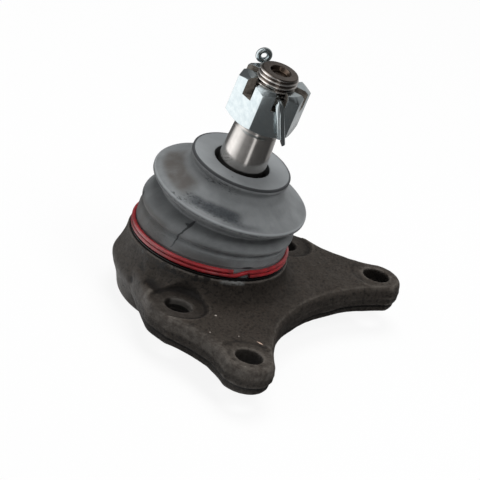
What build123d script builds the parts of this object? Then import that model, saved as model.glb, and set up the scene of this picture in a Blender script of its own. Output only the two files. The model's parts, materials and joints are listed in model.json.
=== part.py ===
"""Suspension ball joint with a four-hole forged housing.

Millimetres. The origin is the centre of the ball. +Z runs up along the axis
of the housing, +X toward the two outer bolt holes. The stud leans toward +X.
"""

import os
from math import atan2, cos, degrees, pi, radians, sin, sqrt

from build123d import *

# Pose
LEAN = 6.7                 # lean of the stud at rest, about Y

# Ball stud, distances along the stud from the ball centre
BALL_R = 13.0
NECK_R = 7.2
NECK_TOP = 17.0            # where the neck starts to flare
NECK_FLARE = 0.42          # share of the widening reached halfway up the flare
TAPER_TOP = 47.2           # small end of the taper
TAPER_TOP_R = 7.55
TAPER_RATIO = 1.0 / 16.0   # radius per length, a 1:8 taper
TAPER_FOOT = 22.0          # large end of the taper
TAPER_EDGE = 0.5
THREAD_R = 6.95            # crest radius of the M14 thread
THREAD_PROJECTION = 3.5    # thread that stands out of the nut
STUD_CHAMFER = 0.8
RECESS_R = 3.2
RECESS_DEPTH = 0.7

# Castle nut
NUT_LIFT = 2.9             # nut's foot above the small end of the taper
NUT_HEIGHT = 16.2
NUT_FLATS = 22.4
NUT_BORE_CLEARANCE = 0.05
NUT_CHAMFER_DROP = 1.7     # depth of the chamfer at the corners
NUT_FACE_R = 10.2          # radius where the chamfers start
NUT_FOOT_DROP = 1.7
SLOT_WIDTH = 4.2
SLOT_DEPTH = 6.1
SLOT_COUNT = 6             # one slot across each flat
SLOT_TURN = -49.0          # direction of the slot that carries the pin

# Cotter pin
PIN_R = 1.5
PIN_HOLE_R = 1.8
PIN_RISE = 2.7             # pin centre above the floor of the slot
PIN_SPLIT = 0.16           # gap between the two legs
PIN_BEND_R = 3.3
PIN_FLANK_GAP = 0.15
PIN_SPLAY = 22.0           # sideways slope of the bent legs
PIN_LONG_LEG = 10.4
PIN_SHORT_LEG = 7.9
EYE_R = 1.9                # centre line of the eye
EYE_RISE = 4.6
EYE_SHIFT = -2.6
EYE_WIRE_R = 0.95
EYE_STEM_R = 1.25
EYE_REACH = 13.2           # distance of the eye from the stud's axis

# Housing
PLATE_TOP = -5.0
PLATE_THICK = 10.5
PARTING_DROP = 4.6         # ridge of the parting land below the upper face
PARTING_LAND = 3.2         # height of the upright land
PARTING_STEP = 0.45        # lower half set in below the land
PLATE_DRAFT = 5.0
OUTER_HOLE_X = 45.0
OUTER_HOLE_Y = 46.3
INNER_HOLE_X = 12.0
INNER_HOLE_Y = 36.7
HOLE_R = 4.5
HOLE_CHAMFER = 0.5
OUTER_EAR_R = 9.2
INNER_EAR_R = 10.6
FRONT_ARC_R = 72.0
FRONT_ARC_DEPTH = 5.2      # front arc's nearest point behind the outer holes
SIDE_ARC_R = 30.0
SIDE_ARC_BACK = 23.0       # side arc's middle behind the outer holes
SIDE_ARC_OUT = 1.5         # side arc's nearest point outside the outer holes
EAR_CORNER_R = 4.0
PLATE_EDGE_R = 2.8
PLATE_FOOT_R = 0.9
PLATE_ROUND_R = 27.8       # round part of the plate, inside the barrel
SPOT_FACE_R = 9.9
SPOT_FACE_DEPTH = 0.5
POCKET_R = 10.2
POCKET_DEPTH = 0.8
POCKET_HEIGHT = 14.0
SHOULDER_Z = 1.2           # upper edge of the machined shoulder
SHOULDER_R = 27.9
BARREL_TOP_R = 28.0
BARREL_TOP_Z = -1.0
FLARE_R = 28.85            # hollow flare above the bulge
FLARE_Z = -5.4
BULGE_R = 30.6
BULGE_Z = -10.3
BULGE_HALF = 1.8           # height from the bulge's middle to its ends
BULGE_DROP = 0.45          # radius lost at the bulge's ends
WAIST_R = 28.0             # hollow taper below the bulge
WAIST_Z = -16.4
BARREL_LOW_R = 26.8
BARREL_LOW_Z = -20.2
BARREL_ROUND_R = 26.15     # rounded foot of the barrel
BARREL_ROUND_Z = -21.4
BARREL_FOOT_Z = -22.3
BARREL_FOOT_R = 24.6
ROOT_R = 4.8               # root between the barrel and the plate
ROOT_STEP = 0.1
COLLAR_R = 24.0
COLLAR_TOP = 9.6
COLLAR_EDGE = 2.4
BEAD_SEAT_R = 23.4
BEAD_SEAT_TOP = 5.0

# Socket
SOCKET_R = 17.2
SOCKET_TOP = 3.0
MOUTH_Z = 6.0
MOUTH_R = 12.0
MOUTH_TOP_R = 14.2
THROAT_R = 13.6
COVER_BORE_R = 18.2
COVER_BORE_TOP = -17.9
CRIMP_R = 16.0
CRIMP_THICK = 1.3
CRIMP_SLOPE = 0.8
FIT = 0.05                 # running clearance on the ball and on the cap
PRESS = 0.04               # clearance of seated rings
SEAT_GAP = 0.1             # rubber on its seats
SLACK = 0.7                # bellows beside the collar
OVERCUT = 1.0              # reach of a cut beyond the face it opens

# Bearings and preload
UPPER_FOOT = -1.0
UPPER_TOP = 5.8
CAP_WALL = 2.5
CAP_EDGE_ANGLE = -36.0     # latitude of the cap's rim
PAD_TOP = -7.5
PAD_FOOT = -17.1
PAD_RELIEF_R = 7.0
PAD_RELIEF = 0.4
SPRING_OUTER_R = 16.2
SPRING_INNER_R = 8.2
SPRING_THICK = 0.8
SPRING_CONE = 0.55
COVER_THICK = 2.2
COVER_R = 18.0
COVER_DISH_R = 12.5
COVER_DISH = 0.7
SEAL_WIRE_R = 0.6
PLUG_R = 3.0
PLUG_HEAD_R = 4.6
PLUG_HEAD = 0.9
PLUG_SOCKET = 3.0
PLUG_SOCKET_DEPTH = 0.8

# Boot, radii of the skin and heights above the ball centre
BOOT_WALL = 2.0
BOOT_FOOT_Z = 1.35
BOOT_FOOT_R = 27.1
BOOT_FOOT_TOP = 1.75
GROOVE_R = 25.95
GROOVE_FOOT = 1.95
GROOVE_TOP = 5.25
WALL_R = 26.2
WALL_FOOT = 5.6
WALL_TOP = 9.3
CREASE_R = 25.3
CREASE_Z = 10.5
FOLD_R = 26.6
FOLD_Z = 12.6
FOLD_ROUND = 1.3
VALLEY_R = 22.6
VALLEY_Z = 17.2
VALLEY_ROUND = 0.8
RIM_R = 27.3
RIM_Z = 22.2
RIM_HALF = 1.0
RIM_DROP_R = 0.6
CONE_R = 21.6
CONE_Z = 25.3
CONE_TOP_R = 17.6
CONE_TOP_Z = 28.3
NECK_BOOT_R = 16.3
NECK_BOOT_Z = 30.6
LIP_R = 17.45
LIP_FOOT = 32.2
LIP_TOP = 33.9
LIP_EDGE = 0.35
LIP_HOLE_R = 8.8
LIP_MOUTH_R = 9.9
LIP_MOUTH_Z = 31.8
LIP_UNDER = 29.2
LEAN_START = 5.0           # height where the boot starts to follow the stud
LEAN_END = 20.0            # height from which it follows in full

# Rings of the boot
CLAMP_WIRE_R = 0.7
CLAMP_PITCH = 1.45         # distance of the two turns
CLAMP_JOG = 14.0           # angle over which the wire climbs
CLAMP_TURN = -36.0         # direction of the climb
LIP_RING_OUTER = 14.4
LIP_RING_INNER = 10.6
LIP_RING_THICK = 1.6
LIP_RING_GAP = 0.05


def at(radius, height):
    """Point of a half section in the XZ plane."""
    return Vector(radius, 0.0, height)


def turned(*edges):
    """Solid of revolution about Z from the closed edges of a half section."""
    return revolve(make_face(Wire(edges).edges()), Axis.Z, 360.0)


def closed_line(*points):
    """Straight edges through the points and back to the first one."""
    return Polyline(*points, close=True).edges()


def ring(inner, outer, foot, top):
    """Plain ring about Z."""
    return turned(*closed_line(at(inner, foot), at(outer, foot), at(outer, top), at(inner, top)))


def disc(radius, foot, top):
    """Plain disc about Z."""
    return Pos(0, 0, foot) * Cylinder(radius, top - foot, align=(Align.CENTER, Align.CENTER, Align.MIN))


def leaned(shape):
    """Shape built along Z, carried over to the stud's axis."""
    return Rotation(0, LEAN, 0) * shape


def taper_radius(distance):
    """Radius of the stud's taper at a distance from the ball centre."""
    return TAPER_TOP_R + (TAPER_TOP - distance) * TAPER_RATIO


def nut_seat():
    """Height of the nut's foot along the stud."""
    return TAPER_TOP + NUT_LIFT


def nut_top():
    """Height of the nut's upper face along the stud."""
    return nut_seat() + NUT_HEIGHT


def build_ball_stud():
    """Ball, neck, taper and threaded end as one turned piece."""
    neck_start = sqrt(BALL_R ** 2 - NECK_R ** 2)
    foot_r = taper_radius(TAPER_FOOT)
    end = nut_top() + THREAD_PROJECTION
    ball = ThreePointArc(at(0, -BALL_R), at(BALL_R, 0), at(NECK_R, neck_start))
    flare_mid = at(NECK_R + (foot_r - NECK_R) * NECK_FLARE, (NECK_TOP + TAPER_FOOT) / 2)
    body = turned(
        ball,
        Line(at(NECK_R, neck_start), at(NECK_R, NECK_TOP)),
        Spline(
            at(NECK_R, NECK_TOP),
            flare_mid,
            at(foot_r, TAPER_FOOT),
            tangents=[(0, 0, 1), (-TAPER_RATIO, 0, 1)],
        ),
        Line(at(foot_r, TAPER_FOOT), at(TAPER_TOP_R, TAPER_TOP)),
        Line(at(TAPER_TOP_R, TAPER_TOP), at(THREAD_R, TAPER_TOP + TAPER_EDGE)),
        Line(at(THREAD_R, TAPER_TOP + TAPER_EDGE), at(THREAD_R, end - STUD_CHAMFER)),
        Line(at(THREAD_R, end - STUD_CHAMFER), at(THREAD_R - STUD_CHAMFER, end)),
        Line(at(THREAD_R - STUD_CHAMFER, end), at(0, end)),
        Line(at(0, end), at(0, -BALL_R)),
    )
    recess = disc(RECESS_R, end - RECESS_DEPTH, end + RECESS_DEPTH)
    bore_plane = Plane(origin=(0, 0, pin_height()), z_dir=pin_direction())
    pin_bore = extrude(bore_plane * Circle(PIN_HOLE_R), 2 * THREAD_R, both=True)
    return leaned(body - recess - pin_bore)


def pin_height():
    """Distance of the pin's centre line from the ball centre."""
    return nut_top() - SLOT_DEPTH + PIN_RISE


def pin_direction():
    """Direction in which the pin's legs leave the nut."""
    return Vector(cos(radians(SLOT_TURN)), sin(radians(SLOT_TURN)), 0)


def build_castle_nut():
    """Hexagon nut with radial slots across the flats."""
    corner_r = NUT_FLATS / 2 / cos(pi / SLOT_COUNT)
    foot = nut_seat()
    top = nut_top()
    corner_turn = SLOT_TURN + 180.0 / SLOT_COUNT
    hexagon = RegularPolygon(NUT_FLATS / 2, SLOT_COUNT, major_radius=False)
    prism = extrude(Pos(0, 0, foot) * Rotation(0, 0, corner_turn) * hexagon, NUT_HEIGHT)
    envelope = turned(
        *closed_line(
            at(0, foot),
            at(NUT_FACE_R, foot),
            at(corner_r, foot + NUT_FOOT_DROP),
            at(corner_r, top - NUT_CHAMFER_DROP),
            at(NUT_FACE_R, top),
            at(0, top),
        )
    )
    body = prism & envelope
    bore = disc(THREAD_R + NUT_BORE_CLEARANCE, foot - OVERCUT, top + OVERCUT)
    slots = [
        Rotation(0, 0, SLOT_TURN + index * 360.0 / SLOT_COUNT)
        * Pos((corner_r + OVERCUT) / 2, 0, top)
        * Box(corner_r + OVERCUT, SLOT_WIDTH, 2 * SLOT_DEPTH)
        for index in range(SLOT_COUNT)
    ]
    return leaned(body - bore - slots)


def half_round(plane, side):
    """Half of the pin's round section, on one side of the split."""
    half = Pos(side * (PIN_R + PIN_SPLIT / 2), 0) * Rectangle(2 * PIN_R, 2 * PIN_R)
    return plane * (Circle(PIN_R) & half)


def pin_leg(side, length):
    """One leg of the pin: straight through the nut, round the bend and down."""
    flank = NUT_FLATS / 2 + PIN_R + PIN_FLANK_GAP
    bend_start = flank - PIN_BEND_R
    back = Plane(origin=(-EYE_REACH, 0, 0), x_dir=(0, 1, 0), z_dir=(1, 0, 0))
    front = Plane(origin=(bend_start, 0, 0), x_dir=(0, 1, 0), z_dir=(1, 0, 0))
    below = Plane(origin=(flank, 0, -PIN_BEND_R), x_dir=(0, 1, 0), z_dir=(0, 0, -1))
    level = extrude(half_round(back, side), EYE_REACH + bend_start)
    bend = revolve(half_round(front, side), Axis((bend_start, 0, -PIN_BEND_R), (0, 1, 0)), 90.0)
    drop = extrude(half_round(below, side), length)
    return level + bend + drop


def build_cotter_pin():
    """Split pin: an eye standing up behind the nut and two legs bent down in front."""
    legs = pin_leg(1, PIN_LONG_LEG) + pin_leg(-1, PIN_SHORT_LEG)
    elbow = Pos(-EYE_REACH, 0, 0) * Sphere(PIN_R)
    loop = Pos(-EYE_REACH, EYE_SHIFT, EYE_RISE) * Rotation(0, 90, 0) * Torus(EYE_R, EYE_WIRE_R)
    stem_turn = atan2(EYE_SHIFT, EYE_RISE)
    stem_length = sqrt(EYE_SHIFT ** 2 + EYE_RISE ** 2) - EYE_R
    stem = Cylinder(EYE_STEM_R, stem_length, align=(Align.CENTER, Align.CENTER, Align.MIN))
    stem = Pos(-EYE_REACH, 0, 0) * Rotation(-degrees(stem_turn), 0, 0) * stem
    pin = Rotation(PIN_SPLAY, 0, 0) * legs + elbow + loop + stem
    return leaned(Pos(0, 0, pin_height()) * Rotation(0, 0, SLOT_TURN) * pin)


def plate_outline(inset=0.0):
    """Plan view of the mounting plate, drawn in on all sides by the inset."""
    circles = [Circle(PLATE_ROUND_R - inset)]
    for side in (1, -1):
        circles.append(Pos(OUTER_HOLE_X, side * OUTER_HOLE_Y) * Circle(OUTER_EAR_R - inset))
        circles.append(Pos(INNER_HOLE_X, side * INNER_HOLE_Y) * Circle(INNER_EAR_R - inset))
    outline = make_hull(ShapeList([edge for circle in circles for edge in circle.edges()]))
    outline -= Pos(OUTER_HOLE_X - FRONT_ARC_DEPTH + FRONT_ARC_R, 0) * Circle(FRONT_ARC_R + inset)
    arc_x = OUTER_HOLE_X - SIDE_ARC_BACK
    arc_y = OUTER_HOLE_Y + SIDE_ARC_OUT + SIDE_ARC_R
    for side in (1, -1):
        outline -= Pos(arc_x, side * arc_y) * Circle(SIDE_ARC_R + inset)
    tips = [
        vertex
        for vertex in outline.vertices()
        if vertex.X > OUTER_HOLE_X and abs(vertex.Y) < OUTER_HOLE_Y - EAR_CORNER_R / 4
    ]
    return fillet(tips, EAR_CORNER_R - inset)


def build_housing():
    """Forged body: barrel, mounting plate, socket and the seat of the boot."""
    body = barrel() + plate() + root_skirt()
    for side in (1, -1):
        body -= [pocket(side), spot_face(side)]
        body -= bolt_hole(OUTER_HOLE_X, side * OUTER_HOLE_Y, PLATE_TOP - SPOT_FACE_DEPTH)
        body -= bolt_hole(INNER_HOLE_X, side * INNER_HOLE_Y, PLATE_TOP - POCKET_DEPTH)
    return body + collar() - socket_cavity()


def barrel():
    """Bulging round body round the socket, without its cavity."""
    foot = at(BARREL_FOOT_R, BARREL_FOOT_Z)
    low = at(BARREL_LOW_R, BARREL_LOW_Z)
    bulge_foot = at(BULGE_R - BULGE_DROP, BULGE_Z - BULGE_HALF)
    bulge_top = at(BULGE_R - BULGE_DROP, BULGE_Z + BULGE_HALF)
    top = at(BARREL_TOP_R, BARREL_TOP_Z)
    shoulder = at(SHOULDER_R, SHOULDER_Z)
    return turned(
        Line(at(0, BARREL_FOOT_Z), foot),
        ThreePointArc(foot, at(BARREL_ROUND_R, BARREL_ROUND_Z), low),
        ThreePointArc(low, at(WAIST_R, WAIST_Z), bulge_foot),
        ThreePointArc(bulge_foot, at(BULGE_R, BULGE_Z), bulge_top),
        ThreePointArc(bulge_top, at(FLARE_R, FLARE_Z), top),
        Line(top, shoulder),
        Line(shoulder, at(0, SHOULDER_Z)),
        Line(at(0, SHOULDER_Z), at(0, BARREL_FOOT_Z)),
    )


def plate():
    """Mounting plate: drafted upper part, upright parting land and a lower part set in below it."""
    outline = plate_outline()
    upper = extrude(outline, PARTING_DROP, taper=PLATE_DRAFT)
    upper = fillet(upper.faces().sort_by(Axis.Z)[-1].edges(), PLATE_EDGE_R)
    land = extrude(outline, -PARTING_LAND)
    lower = extrude(plate_outline(PARTING_STEP), PLATE_THICK - PARTING_DROP, taper=PLATE_DRAFT)
    lower = fillet(lower.faces().sort_by(Axis.Z)[-1].edges(), PLATE_FOOT_R)
    return Pos(0, 0, PLATE_TOP - PARTING_DROP) * (upper + land + mirror(lower, Plane.XY))


def root_skirt():
    """Concave root between the barrel and the plate's upper face."""
    inner = BARREL_TOP_R + ROOT_STEP
    outer = inner + ROOT_R
    top = PLATE_TOP + ROOT_R
    turn = ROOT_R * (1.0 - sqrt(0.5))
    skirt = turned(
        ThreePointArc(at(inner, top), at(inner + turn, PLATE_TOP + turn), at(outer, PLATE_TOP)),
        Line(at(outer, PLATE_TOP), at(outer, PLATE_TOP - PLATE_EDGE_R)),
        Line(at(outer, PLATE_TOP - PLATE_EDGE_R), at(COLLAR_R, PLATE_TOP - PLATE_EDGE_R)),
        Line(at(COLLAR_R, PLATE_TOP - PLATE_EDGE_R), at(COLLAR_R, top)),
        Line(at(COLLAR_R, top), at(inner, top)),
    )
    within = plate_outline(PLATE_EDGE_R)
    return skirt & extrude(Pos(0, 0, PLATE_TOP - PLATE_EDGE_R) * within, PLATE_EDGE_R + ROOT_R)


def pocket(side):
    """Deep spot face at an inner hole, cut into the barrel's root."""
    place = Pos(INNER_HOLE_X, side * INNER_HOLE_Y, 0)
    return place * disc(POCKET_R, PLATE_TOP - POCKET_DEPTH, PLATE_TOP + POCKET_HEIGHT)


def spot_face(side):
    """Shallow spot face at an outer hole."""
    place = Pos(OUTER_HOLE_X, side * OUTER_HOLE_Y, PLATE_TOP)
    return place * Cylinder(SPOT_FACE_R, 2 * SPOT_FACE_DEPTH)


def bolt_hole(x, y, mouth):
    """Through hole with broken edges, its upper mouth at the given height."""
    foot = PLATE_TOP - PLATE_THICK
    wide = HOLE_R + HOLE_CHAMFER
    bore = turned(
        *closed_line(
            at(0, foot - OVERCUT),
            at(wide, foot - OVERCUT),
            at(wide, foot),
            at(HOLE_R, foot + HOLE_CHAMFER),
            at(HOLE_R, mouth - HOLE_CHAMFER),
            at(wide, mouth),
            at(wide, mouth + OVERCUT),
            at(0, mouth + OVERCUT),
        )
    )
    return Pos(x, y, 0) * bore


def collar():
    """Turned collar that carries the boot and the mouth of the socket."""
    return turned(
        *closed_line(
            at(MOUTH_R, SHOULDER_Z - OVERCUT),
            at(BEAD_SEAT_R, SHOULDER_Z - OVERCUT),
            at(BEAD_SEAT_R, BEAD_SEAT_TOP),
            at(COLLAR_R, BEAD_SEAT_TOP + COLLAR_R - BEAD_SEAT_R),
            at(COLLAR_R, COLLAR_TOP - COLLAR_EDGE),
            at(COLLAR_R - COLLAR_EDGE, COLLAR_TOP),
            at(MOUTH_R, COLLAR_TOP),
        )
    )


def socket_cavity():
    """Space for the ball, the bearings, the preload parts and the cover."""
    crimp_top = BARREL_FOOT_Z + CRIMP_THICK
    return turned(
        *closed_line(
            at(0, BARREL_FOOT_Z - OVERCUT),
            at(CRIMP_R, BARREL_FOOT_Z - OVERCUT),
            at(CRIMP_R, crimp_top - CRIMP_SLOPE),
            at(COVER_BORE_R, crimp_top),
            at(COVER_BORE_R, COVER_BORE_TOP),
            at(SOCKET_R, COVER_BORE_TOP),
            at(SOCKET_R, SOCKET_TOP),
            at(THROAT_R, MOUTH_Z),
            at(MOUTH_TOP_R, COLLAR_TOP + OVERCUT),
            at(0, COLLAR_TOP + OVERCUT),
        )
    )


def build_upper_bearing():
    """Ring seat with a spherical bore round the upper half of the ball."""
    outer = SOCKET_R - PRESS
    shell = turned(
        *closed_line(
            at(MOUTH_R / 2, UPPER_FOOT),
            at(outer, UPPER_FOOT),
            at(outer, SOCKET_TOP - PRESS),
            at(THROAT_R - PRESS, UPPER_TOP),
            at(MOUTH_R / 2, UPPER_TOP),
        )
    )
    return shell - Sphere(BALL_R + FIT)


def build_lower_bearing():
    """Spherical cap that floats between the ball and the pressure pad."""
    inner = BALL_R + FIT
    outer = inner + CAP_WALL
    edge = radians(CAP_EDGE_ANGLE)
    middle = radians((CAP_EDGE_ANGLE - 90.0) / 2)
    return turned(
        ThreePointArc(at(0, -outer), polar(outer, middle), polar(outer, edge)),
        Line(polar(outer, edge), polar(inner, edge)),
        ThreePointArc(polar(inner, edge), polar(inner, middle), at(0, -inner)),
        Line(at(0, -inner), at(0, -outer)),
    )


def polar(radius, latitude):
    """Point of a half section at a latitude seen from the ball centre."""
    return at(radius * cos(latitude), radius * sin(latitude))


def build_pressure_pad():
    """Cup that carries the cap and rests on the spring."""
    hollow = BALL_R + FIT + CAP_WALL + FIT
    pad = disc(SOCKET_R - FIT, PAD_FOOT, PAD_TOP) - Sphere(hollow)
    return pad - disc(PAD_RELIEF_R, PAD_FOOT - OVERCUT, PAD_FOOT + PAD_RELIEF)


def build_disc_spring():
    """Coned spring washer, pressed nearly flat between pad and cover."""
    top = PAD_FOOT - PRESS
    return turned(
        *closed_line(
            at(SPRING_INNER_R, top - SPRING_THICK),
            at(SPRING_OUTER_R, top - SPRING_THICK - SPRING_CONE),
            at(SPRING_OUTER_R, top - SPRING_CONE),
            at(SPRING_INNER_R, top),
        )
    )


def cover_top():
    """Height of the cover's upper face."""
    return PAD_FOOT - 2 * PRESS - SPRING_THICK - SPRING_CONE


def build_end_cover():
    """Pressed cover with a raised middle, a seal groove and the plug's thread."""
    top = cover_top()
    foot = top - COVER_THICK
    cover = disc(COVER_R, foot, top)
    cover -= disc(COVER_DISH_R, foot - OVERCUT, foot + COVER_DISH)
    cover -= disc(PLUG_R + PRESS, foot - OVERCUT, top + OVERCUT)
    groove = Pos(0, 0, top - COVER_THICK / 2) * Torus(COVER_R, SEAL_WIRE_R + PRESS)
    return cover - groove


def build_cover_seal():
    """O-ring between the cover and the bore, squeezed to the bore's size."""
    seal = Pos(0, 0, cover_top() - COVER_THICK / 2) * Torus(COVER_R, SEAL_WIRE_R)
    return seal & disc(COVER_BORE_R - PRESS, BARREL_FOOT_Z, PAD_FOOT)


def build_grease_plug():
    """Screw plug with a hexagon socket in the middle of the cover."""
    top = cover_top()
    seat = top - COVER_THICK + COVER_DISH - PRESS
    plug = disc(PLUG_R, seat, top) + disc(PLUG_HEAD_R, seat - PLUG_HEAD, seat)
    key = RegularPolygon(PLUG_SOCKET / 2, 6, major_radius=False)
    return plug - extrude(Pos(0, 0, seat - PLUG_HEAD) * key, PLUG_SOCKET_DEPTH)


def follow(height):
    """Share of the stud's lean that the boot takes at a height."""
    share = (height - LEAN_START) / (LEAN_END - LEAN_START)
    share = min(max(share, 0.0), 1.0)
    return share * share * (3.0 - 2.0 * share)


def boot_section(radius, height):
    """Round section of the boot, tilted with the stud by its share."""
    return Rotation(0, LEAN * follow(height), 0) * Pos(0, 0, height) * Circle(radius)


def smooth_band(*points):
    """Side faces of a smooth skin through the sections at the given radii and heights."""
    skin = loft([boot_section(radius, height) for radius, height in points])
    return skin.faces().filter_by(GeomType.PLANE, reverse=True)


def cone_bands(*points):
    """Side faces of straight cones through the sections at the given radii and heights."""
    skin = loft([boot_section(radius, height) for radius, height in points], ruled=True)
    return skin.faces().filter_by(GeomType.PLANE, reverse=True)


def washer(inner, outer, height):
    """Flat ring face of the boot at a height."""
    return (boot_section(outer, height) - boot_section(inner, height)).faces()


def build_boot():
    """Rubber bellows with a wide flange fold, skewed as the stud leans."""
    faces = boot_outside() + boot_inside() + boot_lip_bore()
    faces += washer(BEAD_SEAT_R + SEAT_GAP, BOOT_FOOT_R, BOOT_FOOT_Z)
    faces += washer(LIP_MOUTH_R, LIP_R - LIP_EDGE, LIP_TOP)
    return Part() + Solid(Shell(faces))


def boot_outside():
    """Outer skin: foot, groove of the wire ring, wall, fold, flange, cone and lip."""
    faces = cone_bands(
        (BOOT_FOOT_R, BOOT_FOOT_Z),
        (BOOT_FOOT_R, BOOT_FOOT_TOP),
        (GROOVE_R, GROOVE_FOOT),
        (GROOVE_R, GROOVE_TOP),
        (WALL_R, WALL_FOOT),
        (WALL_R, WALL_TOP),
        (CREASE_R, CREASE_Z),
    )
    faces += smooth_band(
        (CREASE_R, CREASE_Z),
        (FOLD_R, FOLD_Z - FOLD_ROUND / 2),
        (FOLD_R, FOLD_Z + FOLD_ROUND / 2),
        ((FOLD_R + VALLEY_R) / 2, (FOLD_Z + VALLEY_Z) / 2 + FOLD_ROUND / 2),
        (VALLEY_R, VALLEY_Z),
    )
    faces += cone_bands(
        (VALLEY_R, VALLEY_Z),
        (VALLEY_R, VALLEY_Z + VALLEY_ROUND),
        (RIM_R - RIM_DROP_R, RIM_Z - RIM_HALF),
        (RIM_R, RIM_Z - RIM_HALF / 2),
        (RIM_R, RIM_Z + RIM_HALF / 2),
        (RIM_R - RIM_DROP_R, RIM_Z + RIM_HALF),
    )
    faces += smooth_band(
        (RIM_R - RIM_DROP_R, RIM_Z + RIM_HALF),
        (CONE_R, CONE_Z),
        (CONE_TOP_R, CONE_TOP_Z),
        (NECK_BOOT_R, NECK_BOOT_Z),
        (LIP_R, LIP_FOOT),
    )
    return faces + cone_bands((LIP_R, LIP_FOOT), (LIP_R, LIP_TOP - LIP_EDGE), (LIP_R - LIP_EDGE, LIP_TOP))


def boot_inside():
    """Inner skin, one wall inside the outer one, from the foot to the upper lip."""
    seat = BEAD_SEAT_R + SEAT_GAP
    above = COLLAR_R + SLACK
    seat_top = BEAD_SEAT_TOP + SEAT_GAP
    return cone_bands(
        (seat, BOOT_FOOT_Z),
        (seat, seat_top),
        (above, seat_top + above - seat),
        (above, WALL_TOP),
        (FOLD_R - BOOT_WALL, FOLD_Z - FOLD_ROUND / 2),
        (FOLD_R - BOOT_WALL, FOLD_Z + FOLD_ROUND / 2),
        (VALLEY_R - BOOT_WALL, VALLEY_Z),
        (VALLEY_R - BOOT_WALL, VALLEY_Z + VALLEY_ROUND),
        (RIM_R - BOOT_WALL - RIM_HALF, RIM_Z - RIM_HALF / 2),
        (RIM_R - BOOT_WALL - RIM_HALF, RIM_Z),
        (CONE_R - BOOT_WALL, CONE_Z - BOOT_WALL / 2),
        (CONE_TOP_R - BOOT_WALL, CONE_TOP_Z - BOOT_WALL / 2),
        (LIP_RING_OUTER + LIP_RING_GAP, LIP_UNDER),
    )


def boot_lip_bore():
    """Pocket of the stiffening ring and the bore round the shank."""
    outer = LIP_RING_OUTER + LIP_RING_GAP
    inner = LIP_RING_INNER - LIP_RING_GAP
    roof = LIP_UNDER + LIP_RING_THICK + LIP_RING_GAP
    faces = cone_bands((outer, LIP_UNDER), (outer, roof))
    faces += washer(inner, outer, roof)
    faces += cone_bands((inner, LIP_UNDER), (inner, roof))
    faces += washer(LIP_HOLE_R, inner, LIP_UNDER)
    faces += cone_bands((LIP_HOLE_R, LIP_UNDER), (LIP_HOLE_R, LIP_MOUTH_Z), (LIP_MOUTH_R, LIP_TOP))
    return faces


def build_boot_lip_ring():
    """Steel ring that keeps the boot's upper lip round."""
    return leaned(ring(LIP_RING_INNER, LIP_RING_OUTER, LIP_UNDER, LIP_UNDER + LIP_RING_THICK))


def clamp_point(turn, height):
    """Point of the clamp wire's centre line."""
    radius = GROOVE_R + CLAMP_WIRE_R + SEAT_GAP / 2
    return Vector(radius * cos(radians(turn)), radius * sin(radians(turn)), height)


def clamp_turn(start, end, height):
    """Level run of the clamp wire from one direction to another."""
    middle = (start + end) / 2
    return ThreePointArc(clamp_point(start, height), clamp_point(middle, height), clamp_point(end, height))


def build_boot_clamp_ring():
    """Wire wound twice round the boot, climbing once, with its two free ends."""
    lower = (GROOVE_FOOT + GROOVE_TOP - CLAMP_PITCH) / 2
    upper = lower + CLAMP_PITCH
    start = CLAMP_TURN + CLAMP_JOG / 2
    climb = start + 360.0 - CLAMP_JOG
    heading = [Vector(-sin(radians(turn)), cos(radians(turn)), 0) for turn in (climb, climb + CLAMP_JOG)]
    jog = Spline(
        clamp_point(climb, lower),
        clamp_point(climb + CLAMP_JOG / 2, (lower + upper) / 2),
        clamp_point(climb + CLAMP_JOG, upper),
        tangents=heading,
    )
    path = Wire([
        clamp_turn(start, climb, lower).edge(),
        jog.edge(),
        clamp_turn(start, climb, upper).edge(),
    ])
    section = Plane(origin=clamp_point(start, lower), z_dir=path % 0) * Circle(CLAMP_WIRE_R)
    return sweep(section, path=path)


PIECES = {
    "housing": build_housing,
    "end_cover": build_end_cover,
    "cover_seal": build_cover_seal,
    "grease_plug": build_grease_plug,
    "disc_spring": build_disc_spring,
    "pressure_pad": build_pressure_pad,
    "lower_bearing": build_lower_bearing,
    "upper_bearing": build_upper_bearing,
    "ball_stud": build_ball_stud,
    "castle_nut": build_castle_nut,
    "cotter_pin": build_cotter_pin,
    "boot": build_boot,
    "boot_clamp_ring": build_boot_clamp_ring,
    "boot_lip_ring": build_boot_lip_ring,
}


if __name__ == "__main__":
    os.makedirs("parts", exist_ok=True)
    for name, build_piece in PIECES.items():
        export_step(build_piece(), f"parts/{name}.step")
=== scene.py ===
"""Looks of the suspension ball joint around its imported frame, with a studio and a camera.

Lengths are millimetres in the classes and metres in Blender.
"""

import json
import logging
import math
from dataclasses import dataclass
from enum import Enum
from typing import Callable

import bmesh
import bpy
import numpy as np
from mathutils import Matrix, Vector, noise


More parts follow.
